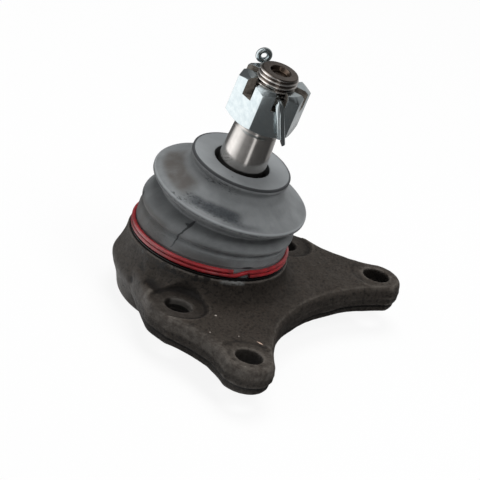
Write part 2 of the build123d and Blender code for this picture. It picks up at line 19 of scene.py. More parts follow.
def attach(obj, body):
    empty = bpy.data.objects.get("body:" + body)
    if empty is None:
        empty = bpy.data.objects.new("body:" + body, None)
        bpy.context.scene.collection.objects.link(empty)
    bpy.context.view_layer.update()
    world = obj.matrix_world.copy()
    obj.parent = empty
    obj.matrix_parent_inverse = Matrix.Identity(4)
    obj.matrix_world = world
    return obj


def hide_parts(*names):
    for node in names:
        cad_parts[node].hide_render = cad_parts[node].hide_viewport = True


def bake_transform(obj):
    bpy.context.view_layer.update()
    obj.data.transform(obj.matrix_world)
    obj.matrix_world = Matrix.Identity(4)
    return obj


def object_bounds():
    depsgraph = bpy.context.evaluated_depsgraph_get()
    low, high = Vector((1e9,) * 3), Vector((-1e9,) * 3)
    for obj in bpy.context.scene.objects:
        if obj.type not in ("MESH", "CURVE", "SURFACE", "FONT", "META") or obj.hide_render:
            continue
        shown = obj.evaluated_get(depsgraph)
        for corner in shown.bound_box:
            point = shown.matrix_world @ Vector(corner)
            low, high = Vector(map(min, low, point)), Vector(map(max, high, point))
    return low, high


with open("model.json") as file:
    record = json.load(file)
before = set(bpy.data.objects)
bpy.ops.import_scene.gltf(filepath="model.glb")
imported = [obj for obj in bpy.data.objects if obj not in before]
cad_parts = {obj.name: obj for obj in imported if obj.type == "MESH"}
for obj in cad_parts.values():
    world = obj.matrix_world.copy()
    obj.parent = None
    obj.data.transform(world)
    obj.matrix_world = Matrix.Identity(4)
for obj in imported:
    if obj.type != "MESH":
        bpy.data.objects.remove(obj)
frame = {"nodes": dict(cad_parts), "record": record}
cad_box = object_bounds()

MM = 0.001
MERGE_DISTANCE = 0.0005 * MM
LOG = logging.getLogger("ball_joint")

Socket = bpy.types.NodeSocket
Point = tuple[float, float]
Triple = tuple[float, float, float]
Colour = tuple[float, float, float, float]
Placer = Callable[[float, float, float], Vector]


def mount(name: str) -> dict:
    """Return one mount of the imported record."""
    return next(m for m in frame["record"]["mounts"] if m["name"] == name)


def bolt_holes(name: str) -> tuple[Point, Point]:
    """Return the places in mm of the two holes of a bolt pattern, the far one first.

    Args:
        name: Name of the mount.

    Returns:
        X and Y of each hole.
    """
    pattern = mount(name)
    x, y = pattern["pos_m"][0] / MM, pattern["dims"]["spacing_y_mm"] / 2
    return (x, y), (x, -y)


STUD_AXIS = Vector(mount("stud_taper")["axis"]).normalized()
LEAN = math.atan2(STUD_AXIS.x, STUD_AXIS.z)
OUTER_HOLES = bolt_holes("outer_bolts")
INNER_HOLES = bolt_holes("inner_bolts")


class Body(Enum):
    """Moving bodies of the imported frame."""

    HOUSING = "housing"
    CAP = "floating_cap"
    LIP = "lip_ring"
    STUD = "stud"


class Slot(Enum):
    """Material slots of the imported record."""

    FORGING = "forging"
    COVER = "cover"
    RUBBER = "rubber"
    SEAL = "seal"
    RED_WIRE = "red_wire"
    STEEL = "ground_steel"
    ZINC = "zinc"
    SPRING = "spring_steel"
    POLYMER = "bearing_polymer"
    PLUG = "plug_steel"


class Place(Enum):
    """Coordinates that a finish is laid out in."""

    OBJECT = "object"
    STUD = "stud"
    MOULD = "mould"


def rgb(red: float, green: float, blue: float) -> Colour:
    """Return a linear colour with full alpha."""
    return (red, green, blue, 1.0)


@dataclass(frozen=True)
class Mottle:
    """Noise cut to a soft-edged pattern.

    Attributes:
        size: Size of its features in mm.
        start: Level of the noise where the pattern starts.
        full: Level where it is full; the pattern fills the dips where this lies below start.
        detail: Number of finer octaves.
        rough: Share of the strength that each finer octave keeps.
        squash: Factors on the coordinates; small ones draw the pattern out.
    """

    size: float
    start: float
    full: float
    detail: float = 4.0
    rough: float = 0.55
    squash: Triple | None = None


@dataclass(frozen=True)
class Relief:
    """Noise that raises a surface.

    Attributes:
        size: Size of its features in mm.
        depth: Height of its features in mm.
        detail: Number of finer octaves.
        rough: Share of the strength that each finer octave keeps.
    """

    size: float
    depth: float
    detail: float = 4.0
    rough: float = 0.55


@dataclass(frozen=True)
class Patch:
    """Soft-edged field on a turned face.

    Attributes:
        angles: First and last direction in degrees from X.
        radii: Smallest and largest radius in mm.
        heights: Lowest and highest place in mm.
        soft: Half width of the edges in direction, radius and height.
        strength: Share that its colour covers.
    """

    angles: Point
    radii: Point
    heights: Point
    soft: Triple
    strength: float = 1.0


@dataclass(frozen=True)
class Blot:
    """Soft spot with a ragged edge.

    Attributes:
        centre: Middle of the spot in mm.
        size: Half sizes of the spot along X, Y and Z in mm.
        ragged: How far the edge wanders, as a share of the size.
        strength: Share that its colour covers.
    """

    centre: Triple
    size: Triple
    ragged: float = 0.6
    strength: float = 1.0


def speck(x: float, y: float, z: float, size: float) -> Blot:
    """Return a small pale chip on the plate, tall enough to show on an uneven face."""
    return Blot((x, y, z), (size, size, 1.0), 0.5, 0.85)


def smudge(angle: float, radius: float, height: float, size: Triple, ragged: float, strength: float) -> Blot:
    """Return a dark spot at an angle in degrees, a radius and a height of the moulded boot."""
    turn = math.radians(angle)
    return Blot((radius * math.cos(turn), radius * math.sin(turn), height), size, ragged, strength)


class Graph:
    """Node graph of one material, measured in millimetres.

    Attributes:
        BLOT_GRAIN: Size of a blot's ragged edge, as a share of its smallest half size.
        BLOT_CORE: Share of a blot's size inside which it is full.
    """

    BLOT_GRAIN = 0.7
    BLOT_CORE = 0.45

    def __init__(self, name: str, place: Place = Place.OBJECT) -> None:
        """Start a material with one Principled shader.

        Args:
            name: Name of the material.
            place: Coordinates that the patterns are laid out in.
        """
        self.material = bpy.data.materials.new(name)
        self.material.use_nodes = True
        self.tree = self.material.node_tree
        self.tree.nodes.clear()
        self.output = self.add("ShaderNodeOutputMaterial")
        self.shader = self.add("ShaderNodeBsdfPrincipled")
        self.tree.links.new(self.shader.outputs["BSDF"], self.output.inputs["Surface"])
        self.place = self._coordinates(place)

    def _coordinates(self, place: Place) -> Socket:
        """Return coordinates in millimetres.

        Args:
            place: Which coordinates.

        Returns:
            Socket of the coordinates.
        """
        if place is Place.MOULD:
            return self._attribute(place.value).outputs["Vector"]
        mapping = self.add("ShaderNodeMapping")
        self.feed(mapping, "Vector", self.add("ShaderNodeTexCoord").outputs["Object"])
        self.feed(mapping, "Scale", (1 / MM, 1 / MM, 1 / MM))
        if place is Place.STUD:
            self.feed(mapping, "Rotation", (0.0, -LEAN, 0.0))
        return mapping.outputs["Vector"]

    def _attribute(self, name: str) -> bpy.types.ShaderNode:
        """Return a node that reads an attribute of the piece's mesh.

        Args:
            name: Name of the attribute.

        Returns:
            The new node.
        """
        attribute = self.add("ShaderNodeAttribute")
        attribute.attribute_type = "GEOMETRY"
        attribute.attribute_name = name
        return attribute

    def _vector(self, operation: str, a: Socket, b: Triple | None = None) -> bpy.types.ShaderNode:
        """Return a node that works on vectors.

        Args:
            operation: Name of the operation.
            a: First vector.
            b: Second vector, where there is one.

        Returns:
            The new node.
        """
        node = self.add("ShaderNodeVectorMath")
        node.operation = operation
        self.feed(node, 0, a)
        if b is not None:
            self.feed(node, 1, b)
        return node

    def add(self, kind: str) -> bpy.types.ShaderNode:
        """Add a node of a kind."""
        return self.tree.nodes.new(kind)

    def feed(self, node: bpy.types.ShaderNode, key: str | int, value: Socket | float | tuple) -> None:
        """Link a socket to an input, or set the input's value.

        Args:
            node: Node with the input.
            key: Name or index of the input.
            value: Socket to link or value to set.
        """
        if isinstance(value, bpy.types.NodeSocket):
            self.tree.links.new(value, node.inputs[key])
        else:
            node.inputs[key].default_value = value

    def set(self, **values: Socket | float | tuple) -> None:
        """Set or link inputs of the shader, named with underscores for spaces."""
        for key, value in values.items():
            self.feed(self.shader, key.replace("_", " "), value)

    def math(self, operation: str, a: Socket | float, b: Socket | float = 0.0) -> Socket:
        """Return the result of one math operation.

        Args:
            operation: Name of the operation.
            a: First number.
            b: Second number.

        Returns:
            The result.
        """
        node = self.add("ShaderNodeMath")
        node.operation = operation
        self.feed(node, 0, a)
        self.feed(node, 1, b)
        return node.outputs["Value"]

    def plus(self, a: Socket, b: Socket | float) -> Socket:
        """Return the sum of two numbers."""
        return self.math("ADD", a, b)

    def minus(self, a: Socket | float, b: Socket | float) -> Socket:
        """Return the difference of two numbers."""
        return self.math("SUBTRACT", a, b)

    def times(self, *factors: Socket | float) -> Socket:
        """Return the product of several numbers.

        Args:
            factors: Two numbers or more, the first a socket.

        Returns:
            The product.
        """
        product = factors[0]
        for factor in factors[1:]:
            product = self.math("MULTIPLY", product, factor)
        return product

    def between(self, share: Socket, low: float, high: float) -> Socket:
        """Return low turning into high as share goes from 0 to 1."""
        return self.plus(self.times(share, high - low), low)

    def axis(self, index: int) -> Socket:
        """Return one coordinate of the place, 0 for X, 1 for Y and 2 for Z.

        Args:
            index: Which coordinate.

        Returns:
            The coordinate in mm.
        """
        node = self.add("ShaderNodeSeparateXYZ")
        self.feed(node, "Vector", self.place)
        return node.outputs[index]

    def distance(self, x: float, y: float) -> Socket:
        """Return the distance from an upright line through a point."""
        across, along = self.minus(self.axis(0), x), self.minus(self.axis(1), y)
        return self.math("SQRT", self.plus(self.times(across, across), self.times(along, along)))

    def radius(self) -> Socket:
        """Return the distance from the Z axis of the place."""
        return self.distance(0.0, 0.0)

    def heading(self) -> Socket:
        """Return the direction seen from the Z axis, in degrees from X."""
        return self.times(self.math("ARCTAN2", self.axis(1), self.axis(0)), 180.0 / math.pi)

    def stored(self, name: str) -> Socket:
        """Return a number that is stored on the piece's mesh."""
        return self._attribute(name).outputs["Fac"]

    def step(self, value: Socket | float, start: float, full: float) -> Socket:
        """Return 0 turning smoothly into 1 from start to full; full may lie below start.

        Args:
            value: Number to look at.
            start: Value that gives 0.
            full: Value that gives 1.

        Returns:
            The step.
        """
        node = self.add("ShaderNodeMapRange")
        node.interpolation_type = "SMOOTHSTEP"
        self.feed(node, "Value", value)
        self.feed(node, "From Min", min(start, full))
        self.feed(node, "From Max", max(start, full))
        self.feed(node, "To Min", 0.0 if start < full else 1.0)
        self.feed(node, "To Max", 1.0 if start < full else 0.0)
        return node.outputs["Result"]

    def band(self, value: Socket, low: float, high: float, soft: float) -> Socket:
        """Return 1 between low and high, with soft edges."""
        rise = self.step(value, low - soft, low + soft)
        return self.times(rise, self.step(value, high + soft, high - soft))

    def grain(
        self, size: float, detail: float = 4.0, rough: float = 0.55, squash: Triple | None = None
    ) -> Socket:
        """Return noise with features of about one size in millimetres.

        Args:
            size: Size of the features in mm.
            detail: Number of finer octaves.
            rough: Share of the strength that each keeps.
            squash: Factors on the coordinates.

        Returns:
            Noise about 0.5.
        """
        node = self.add("ShaderNodeTexNoise")
        vector = self.place
        if squash is not None:
            mapping = self.add("ShaderNodeMapping")
            self.feed(mapping, "Vector", self.place)
            self.feed(mapping, "Scale", squash)
            vector = mapping.outputs["Vector"]
        self.feed(node, "Vector", vector)
        self.feed(node, "Scale", 1.0 / size)
        self.feed(node, "Detail", detail)
        self.feed(node, "Roughness", rough)
        return node.outputs["Fac"]

    def wander(self, size: float, detail: float, reach: float) -> Socket:
        """Return noise about zero that reaches about half as far as reach to each side."""
        return self.times(self.minus(self.grain(size, detail), 0.5), reach)

    def mottled(self, mottle: Mottle) -> Socket:
        """Return a pattern of noise, from 0 to 1."""
        noise_level = self.grain(mottle.size, mottle.detail, mottle.rough, mottle.squash)
        return self.step(noise_level, mottle.start, mottle.full)

    def patch(self, patch: Patch) -> Socket:
        """Return a field on a turned face, from 0 to 1.

        Args:
            patch: Bounds of the field.

        Returns:
            The field.
        """
        return self.times(
            self.band(self.heading(), *patch.angles, patch.soft[0]),
            self.band(self.radius(), *patch.radii, patch.soft[1]),
            self.band(self.axis(2), *patch.heights, patch.soft[2]),
        )

    def blot(self, blot: Blot) -> Socket:
        """Return a spot with a ragged edge, from 0 to 1.

        Args:
            blot: Place and size of the spot.

        Returns:
            The spot.
        """
        shift = self._vector("SUBTRACT", self.place, blot.centre)
        scale = self._vector("DIVIDE", shift.outputs["Vector"], blot.size)
        away = self._vector("LENGTH", scale.outputs["Vector"]).outputs["Value"]
        edge = self.wander(min(blot.size) * self.BLOT_GRAIN, 5.0, 2.0 * blot.ragged)
        return self.step(self.plus(away, edge), 1.0, self.BLOT_CORE)

    def mix(self, share: Socket | float, a: Socket | Colour, b: Socket | Colour) -> Socket:
        """Return colour a turning into b as share goes from 0 to 1.

        Args:
            share: Share of b.
            a: First colour.
            b: Second colour.

        Returns:
            The mixed colour.
        """
        node = self.add("ShaderNodeMix")
        node.data_type = "RGBA"
        self.feed(node, "Factor", share)
        self.feed(node, 6, a)
        self.feed(node, 7, b)
        return node.outputs[2]

    def shade(
        self, amount: Socket, strength: float, colour: Socket | Colour, over: Socket | Colour
    ) -> Socket:
        """Return a colour laid over another one where an amount is high.

        Args:
            amount: Where the colour lies.
            strength: Share that it covers there.
            colour: Colour laid on.
            over: Colour below.

        Returns:
            The new colour.
        """
        return self.mix(self.times(amount, strength), over, colour)

    def blotted(self, blots: tuple[Blot, ...], colour: Colour, over: Socket) -> Socket:
        """Return a colour with spots of another one on it.

        Args:
            blots: The spots.
            colour: Colour of the spots.
            over: Colour below.

        Returns:
            The new colour.
        """
        for blot in blots:
            over = self.shade(self.blot(blot), blot.strength, colour, over)
        return over

    def bump(self, height: Socket, depth: float, below: Socket | None = None) -> Socket:
        """Return a normal raised by a height from 0 to 1 over a depth in millimetres.

        Args:
            height: Height from 0 to 1.
            depth: What 1 stands for, in mm.
            below: Normal that it adds to.

        Returns:
            The new normal.
        """
        node = self.add("ShaderNodeBump")
        self.feed(node, "Strength", 1.0)
        self.feed(node, "Distance", depth * MM)
        self.feed(node, "Height", height)
        if below is not None:
            self.feed(node, "Normal", below)
        return node.outputs["Normal"]

    def relief(self, *layers: Relief) -> Socket:
        """Return a normal raised by layers of noise, the broad one first.

        Args:
            layers: Layers of noise.

        Returns:
            The new normal.
        """
        normal = None
        for layer in layers:
            normal = self.bump(self.grain(layer.size, layer.detail, layer.rough), layer.depth, normal)
        return normal


@dataclass(frozen=True)
class Forging:
    """Dark forged iron with fine grain, scuffed edges with painted highlights, painted light and shade, and a
    parting line.

    A pair of numbers is where a field starts and where it is full, in mm of radius or height of the
    housing, or in the share of convexity stored on it. A third number is the softness of both edges.
    """

    skin: Colour = rgb(0.0190, 0.0155, 0.0125)
    pale: Colour = rgb(0.040, 0.0335, 0.0280)
    # Paler brown of scuffed places, also used for painted highlights and painted light.
    worn_and_lit: Colour = rgb(0.085, 0.076, 0.067)
    deep: Colour = rgb(0.004, 0.0034, 0.0030)
    black: Colour = rgb(0.004, 0.004, 0.004)
    rust: Colour = rgb(0.026, 0.0175, 0.0125)
    chip: Colour = rgb(0.42, 0.38, 0.34)
    scratch: Colour = rgb(0.40, 0.29, 0.23)
    # Painted light on one side of the wall of the near bore.
    lit_bore_wall: Colour = rgb(0.13, 0.12, 0.11)
    # Grey of a painted reflection on the glossy black band by the ring.
    painted_reflection: Colour = rgb(0.22, 0.23, 0.23)

    clouds: Mottle = Mottle(13.0, 0.35, 0.7, 5.0)
    tinge: Mottle = Mottle(9.0, 0.55, 0.72, 4.0, 0.6, (1.0, 1.0, 3.0))
    flecks: Mottle = Mottle(0.6, 0.42, 0.64, 6.0, 0.78)
    pits: Mottle = Mottle(1.0, 0.49, 0.38, 3.0, 0.6)
    scuffs: Mottle = Mottle(2.2, 0.36, 0.62, 6.0, 0.7)
    streaks: Mottle = Mottle(1.3, 0.36, 0.6, 5.0, 0.7)
    oil_edge: Mottle = Mottle(2.4, 0.5, 0.55, 4.0, 0.6)
    gloss: Mottle = Mottle(3.0, 0.2, 0.8, 6.0, 0.65)
    lumps: Relief = Relief(2.8, 0.26)
    grit: Relief = Relief(0.75, 0.34, 6.0, 0.78)

    rim: Point = (31.5, 33.0)
    slope_radius: Point = (31.5, 34.0)
    slope_side: Point = (-34.0, -40.0)
    slope_height: Triple = (-9.4, -5.8, 0.5)
    brim_height: Triple = (-5.75, -5.4, 0.14)
    brim_convex: Point = (0.02, 0.2)
    edge_convex: Point = (0.3, 0.85)
    crest_convex: Point = (0.6, 0.95)
    corner_convex: Point = (-0.08, -0.6)

    bore_reach: Point = (5.2, 4.7)
    bore_height: Point = (-5.4, -6.2)
    pocket_reach: Point = (10.6, 9.9)
    pocket_floor: Point = (-16.0, -15.0)
    pocket_back: Point = (33.5, 30.0)
    pocket_top: Point = (3.0, -2.0)
    lit_reach: Triple = (4.2, 5.3, 0.1)
    lit_height: Triple = (-8.2, -6.1, 0.2)
    lit_side: Point = (-35.5, -34.0)
    # Painted shade in the dents beside the near pocket.
    painted_shade_spots: tuple[Blot, ...] = (
        Blot((-2.4, -32.6, -5.0), (3.2, 3.0, 2.2), 0.3, 0.7),
        Blot((1.4, -34.0, -5.2), (3.8, 3.6, 2.4), 0.3, 0.7),
        Blot((-11.0, -28.7, -10.2), (1.9, 1.9, 1.6), 0.4, 0.6),
    )

    ridge: Triple = (-9.75, -9.4, 0.18)
    groove: Triple = (-13.1, -12.45, 0.18)
    lower_half_shade: Point = (-12.65, -13.45)
    shoulder_radius: Triple = (27.58, 28.0, 0.1)
    shoulder_height: Point = (0.65, 0.95)
    seat_radius: Point = (27.65, 27.3)
    seat_height: Point = (0.9, 1.2)
    specks: tuple[Blot, ...] = (
        speck(24.3, -33.2, -5.0, 0.5),
        speck(36.4, -38.6, -5.0, 0.3),
        speck(29.0, -45.0, -5.0, 0.28),
        speck(47.5, -53.5, -6.2, 0.3),
    )
    nick: Blot = Blot((43.2, -36.2, -5.0), (1.5, 0.4, 1.0), 0.3, 0.9)
    oil: Patch = Patch((-116.0, -44.0), (27.4, 28.7), (-1.2, 2.0), (7.0, 0.3, 0.4), 0.9)
    # Painted reflection: a grey streak on the glossy black band by the ring.
    reflection_smear: Patch = Patch((-50.0, -33.0), (27.2, 28.0), (-0.1, 2.0), (3.0, 0.15, 0.3), 0.7)
    roughness: Point = (0.56, 0.76)
    wet_gloss: float = 0.35

    def bare_skin(self, graph: Graph) -> Socket:
        """Return the colour of the plain forged skin.

        Args:
            graph: Graph to add to.

        Returns:
            The colour.
        """
        colour = graph.shade(graph.mottled(self.clouds), 0.5, self.pale, self.skin)
        colour = graph.shade(graph.mottled(self.tinge), 0.35, self.rust, colour)
        colour = graph.shade(graph.mottled(self.flecks), 0.85, self.pale, colour)
        return graph.shade(graph.mottled(self.pits), 0.7, self.deep, colour)

    def edge_wear_and_light(self, graph: Graph, colour: Socket, scuffs: Socket) -> Socket:
        """Lay the painted light on the slope, the scuffed edges with their painted highlights and the painted
        shade in the corners over the colour.

        Args:
            graph: Graph to add to.
            colour: Colour below.
            scuffs: Fine pattern that breaks the scuffing and the painted light up.

        Returns:
            The new colour.
        """
        height, radius = graph.axis(2), graph.radius()
        convex = graph.stored(ForgedHousing.CONVEXITY)
        rubbed_and_lit = graph.mix(scuffs, self.pale, self.worn_and_lit)
        outer = graph.times(
            graph.step(radius, *self.slope_radius), graph.step(graph.axis(1), *self.slope_side)
        )
        # Painted light: the left-front slope of the rim is made paler, as if lit from that side.
        slope = graph.times(graph.band(height, *self.slope_height), outer)
        colour = graph.shade(slope, 0.85, rubbed_and_lit, colour)
        # Scuffed convex edges and crests, made paler also as a painted highlight along them.
        colour = graph.shade(graph.step(convex, *self.edge_convex), 0.6, rubbed_and_lit, colour)
        crest = graph.times(graph.step(convex, *self.crest_convex), scuffs)
        colour = graph.shade(crest, 0.55, self.worn_and_lit, colour)
        # Scuffing and a painted highlight along the top edge of the plate.
        brim_wear_and_highlight = graph.times(
            graph.band(height, *self.brim_height),
            graph.step(convex, *self.brim_convex),
            graph.step(radius, *self.rim),
            scuffs,
        )
        colour = graph.shade(brim_wear_and_highlight, 0.4, self.worn_and_lit, colour)
        # Painted shade in the concave corners.
        return graph.shade(graph.step(convex, *self.corner_convex), 0.8, self.deep, colour)

    def holes(self, graph: Graph, colour: Socket) -> Socket:
        """Paint shade into the bores, the pockets and the dents, and paint light on one side of the wall of
        the near bore.

        Args:
            graph: Graph to add to.
            colour: Colour below.

        Returns:
            The new colour.
        """
        height, radius = graph.axis(2), graph.radius()
        for x, y in OUTER_HOLES + INNER_HOLES:
            # Painted shade inside each bolt hole.
            reach = graph.step(graph.distance(x, y), *self.bore_reach)
            bore = graph.times(reach, graph.step(height, *self.bore_height))
            colour = graph.shade(bore, 0.7, self.deep, colour)
        for x, y in INNER_HOLES:
            # Painted shade on the floor of each pocket, deeper at its back.
            reach = graph.step(graph.distance(x, y), *self.pocket_reach)
            pocket = graph.times(reach, graph.step(height, *self.pocket_floor))
            colour = graph.shade(pocket, 0.45, self.deep, colour)
            back = graph.times(graph.step(radius, *self.pocket_back), graph.step(height, *self.pocket_top))
            colour = graph.shade(graph.times(pocket, back), 0.2, self.deep, colour)
        # Painted shade in the dents beside the near pocket.
        colour = graph.blotted(self.painted_shade_spots, self.deep, colour)
        # Painted light on one side of the wall of the near bore.
        lit = graph.times(
            graph.band(graph.distance(*INNER_HOLES[1]), *self.lit_reach),
            graph.band(height, *self.lit_height),
            graph.step(graph.axis(1), *self.lit_side),
        )
        return graph.shade(lit, 0.6, self.lit_bore_wall, colour)

    def parting(self, graph: Graph, colour: Socket, scuffs: Socket) -> Socket:
        """Lay the scuffing and painted highlight on the ridge, and the painted shade in the groove and below
        it, of the wavy parting land over the colour.

        Args:
            graph: Graph to add to.
            colour: Colour below.
            scuffs: Fine pattern that breaks the ridge up.

        Returns:
            The new colour.
        """
        height = graph.axis(2)
        wavy = graph.plus(height, graph.wander(9.0, 3.0, 1.1))
        rim = graph.step(graph.radius(), *self.rim)
        # Scuffing and a painted highlight along the ridge of the parting land.
        ridge = graph.times(graph.band(wavy, *self.ridge), rim, scuffs)
        colour = graph.shade(ridge, 0.3, self.worn_and_lit, colour)
        # Painted shade on the lower half of the rim.
        lower_half_shade = graph.times(graph.step(height, *self.lower_half_shade), rim)
        colour = graph.shade(lower_half_shade, 0.25, self.deep, colour)
        # Painted shade in the groove of the parting land.
        groove = graph.times(graph.band(wavy, *self.groove), rim)
        return graph.shade(groove, 0.95, self.deep, colour)

    def material(self) -> bpy.types.Material:
        """Build the material.

        Returns:
            The finish of the forging.
        """
        graph = Graph("forging")
        height, radius = graph.axis(2), graph.radius()
        scuffs = graph.mottled(self.scuffs)
        colour = self.edge_wear_and_light(graph, self.bare_skin(graph), scuffs)
        colour = self.parting(graph, self.holes(graph, colour), scuffs)
        seat = graph.times(graph.step(radius, *self.seat_radius), graph.step(height, *self.seat_height))
        colour = graph.shade(seat, 0.95, self.black, colour)
        # Painted highlight along the edge of the shoulder by the ring.
        shoulder = graph.times(
            graph.band(radius, *self.shoulder_radius), graph.step(height, *self.shoulder_height)
        )
        colour = graph.shade(shoulder, 0.7, self.worn_and_lit, colour)
        colour = graph.blotted(self.specks, self.chip, colour)
        colour = graph.blotted((self.nick,), self.scratch, colour)
        oil = graph.times(graph.patch(self.oil), graph.mottled(self.oil_edge))
        colour = graph.shade(oil, self.oil.strength, self.deep, colour)
        # Painted reflection: a grey streak on the glossy black band by the ring.
        reflection_smear = graph.times(graph.patch(self.reflection_smear), graph.mottled(self.streaks))
        colour = graph.shade(reflection_smear, self.reflection_smear.strength, self.painted_reflection, colour)
        rough = graph.between(graph.mottled(self.gloss), *self.roughness)
        wet = graph.times(graph.math("MAXIMUM", seat, oil), self.wet_gloss)
        graph.set(
            Base_Color=colour,
            Roughness=graph.minus(rough, wet),
            Specular_IOR_Level=0.32,
            Normal=graph.relief(self.lumps, self.grit),
        )
        return graph.material


@dataclass(frozen=True)
class BootRubber:
    """Grey dusty rubber with dark spots and streaks, painted shade and painted light, laid out on the moulded
    shape.

    A pair of numbers is where a field starts and where it is full, in mm of the moulded boot. A third
    number is the softness of both edges.
    """

    skin: Colour = rgb(0.112, 0.118, 0.121)
    dust: Colour = rgb(0.170, 0.178, 0.182)
    # Grey of the painted light on the lip, the neck and the flange's rim.
    pale: Colour = rgb(0.235, 0.248, 0.256)
    # Near black of the seam, the spots and streaks, and of painted shade.
    dark_mark_and_shade: Colour = rgb(0.022, 0.023, 0.025)
    # The blue-grey and the brown are painted shade.
    blue: Colour = rgb(0.022, 0.025, 0.029)
    brown: Colour = rgb(0.060, 0.055, 0.051)
    black: Colour = rgb(0.005, 0.005, 0.005)

    clouds: Mottle = Mottle(8.0, 0.3, 0.72, 5.0)
    powder: Mottle = Mottle(0.9, 0.45, 0.8, 6.0, 0.75)
    haze: Mottle = Mottle(5.0, 0.3, 0.65, 5.0, 0.6)
    grit: Mottle = Mottle(0.7, 0.35, 0.65, 5.0, 0.7)
    streaks: Mottle = Mottle(0.55, 0.5, 0.62, 5.0, 0.65, (0.35, 0.35, 1.6))
    breaks: Mottle = Mottle(1.6, 0.40, 0.52)
    waves: Relief = Relief(2.4, 0.1)
    pores: Relief = Relief(0.4, 0.03, 5.0, 0.7)

    # Faint painted light on the neck.
    neck: Patch = Patch((-190.0, 190.0), (15.8, 20.5), (27.0, 31.5), (1.0, 0.8, 1.0), 0.1)
    # Painted shade on the flange and the wall.
    flange_left: Patch = Patch((-172.0, -104.0), (18.2, 24.6), (23.0, 29.0), (8.0, 1.3, 1.2), 0.95)
    flange_front: tuple[Patch, ...] = (
        Patch((-98.0, -56.0), (21.6, 25.2), (22.7, 26.4), (7.0, 0.9, 0.8), 0.97),
        Patch((-84.0, -52.0), (20.8, 24.6), (22.7, 26.6), (7.0, 0.9, 0.8), 0.95),
        Patch((-60.0, -36.0), (24.4, 26.6), (22.7, 24.6), (7.0, 0.9, 0.8), 0.6),
    )
    wall: tuple[Patch, ...] = (
        Patch((-165.0, -101.0), (20.0, 27.5), (5.0, 13.0), (6.0, 1.0, 1.0), 0.75),
        Patch((-88.0, -46.0), (24.0, 27.5), (5.2, 8.0), (9.0, 1.0, 1.4), 0.65),
    )
    # Dark streaks that give grain to the painted shade on the flange, under the lip, under the flange's rim
    # and on the wall.
    streaked: tuple[Patch, ...] = (
        Patch((-104.0, -84.0), (22.0, 25.6), (22.9, 25.9), (5.0, 0.8, 0.5), 0.9),
        Patch((-84.0, -50.0), (23.6, 25.8), (22.9, 24.8), (5.0, 0.5, 0.4), 0.7),
        Patch((-112.0, -96.0), (25.6, 27.2), (22.6, 24.0), (4.0, 0.5, 0.3), 0.8),
        Patch((-104.0, -62.0), (15.6, 17.8), (29.6, 32.6), (6.0, 0.5, 0.6), 1.0),
        Patch((-52.0, -36.0), (26.2, 27.5), (21.6, 22.3), (4.0, 0.4, 0.2), 1.0),
        Patch((-74.0, -60.0), (26.2, 27.5), (22.0, 22.6), (4.0, 0.4, 0.2), 0.7),
        Patch((-124.0, -98.0), (25.0, 27.0), (6.4, 10.0), (6.0, 0.5, 1.2), 0.4),
        Patch((-70.0, -20.0), (24.6, 27.0), (8.5, 12.5), (8.0, 0.5, 1.2), 0.25),
    )
    smudges: tuple[Blot, ...] = (
        smudge(-145.0, 26.5, 12.7, (1.7, 1.7, 0.9), 0.4, 1.0),
        smudge(-88.4, 24.6, 15.9, (1.7, 1.3, 0.6), 0.4, 0.85),
        smudge(-31.0, 25.9, 5.6, (3.0, 3.0, 0.6), 0.3, 1.0),
        smudge(-74.0, 13.6, 33.9, (0.6, 0.4, 0.5), 0.5, 0.6),
    )

    upper_rim_radius: Point = (26.4, 26.9)
    upper_rim_height: Triple = (22.55, 23.15, 0.15)
    lower_rim_radius: Point = (26.9, 27.15)
    lower_rim_height: Triple = (22.0, 22.3, 0.12)
    mouth_radius: Point = (9.95, 9.7)
    mouth_height: Point = (28.0, 29.0)
    lip_edge_radius: Point = (16.6, 16.95)
    lip_edge_height: Point = (32.95, 33.2)
    lip_top_radius: Point = (17.6, 17.2)
    lip_top_height: Point = (32.4, 33.0)
    foot_height: Point = (2.05, 1.85)

    seam_height: Triple = (6.2, 17.6, 0.5)
    seam_half_width: Point = (0.8, 0.25)
    seam_middle: float = 9.5
    seam_lean: float = 0.55
    seam_spread: Point = (9.0, 15.0)
    seam_extra_width: float = 0.4
    seam_deepening: Point = (6.0, 11.0)
    seam_strength: Point = (0.45, 0.9)

    def shade_fields(self, graph: Graph, colour: Socket) -> Socket:
        """Lay the broad painted shade over the colour.

        Args:
            graph: Graph to add to.
            colour: Colour below.

        Returns:
            The new colour.
        """
        # Patterns that break up the painted shade.
        haze = graph.between(graph.mottled(self.haze), 0.65, 1.0)
        grit = graph.between(graph.mottled(self.grit), 0.75, 1.0)
        # Painted shade on the left of the flange.
        left = graph.times(graph.patch(self.flange_left), haze)
        colour = graph.shade(left, self.flange_left.strength, self.brown, colour)
        # Painted shade on the front of the flange.
        for patch in self.flange_front:
            field = graph.times(graph.patch(patch), grit, haze)
            colour = graph.shade(field, patch.strength, self.blue, colour)
        # Painted shade on the left and the bottom of the wall.
        for patch in self.wall:
            field = graph.times(graph.patch(patch), haze)
            colour = graph.shade(field, patch.strength, self.brown, colour)
        return colour

    def edge(self, graph: Graph, radius: Point, height: Socket) -> Socket:
        """Return a field of the height's where the radius is in range."""
        return graph.times(graph.step(graph.radius(), *radius), height)

    def marks(self, graph: Graph, colour: Socket) -> Socket:
        """Lay the small dark streaks and spots, the painted highlight and painted shade along the flange's
        rim, and the painted shade in the lip's hole and along the lip's edge over the colour.

        Args:
            graph: Graph to add to.
            colour: Colour below.

        Returns:
            The new colour.
        """
        height = graph.axis(2)
        streaks = graph.mottled(self.streaks)
        # Dark streaks, the grain of the painted shade.
        for patch in self.streaked:
            field = graph.times(graph.patch(patch), streaks)
            colour = graph.shade(field, patch.strength, self.dark_mark_and_shade, colour)
        colour = graph.blotted(self.smudges, self.dark_mark_and_shade, colour)
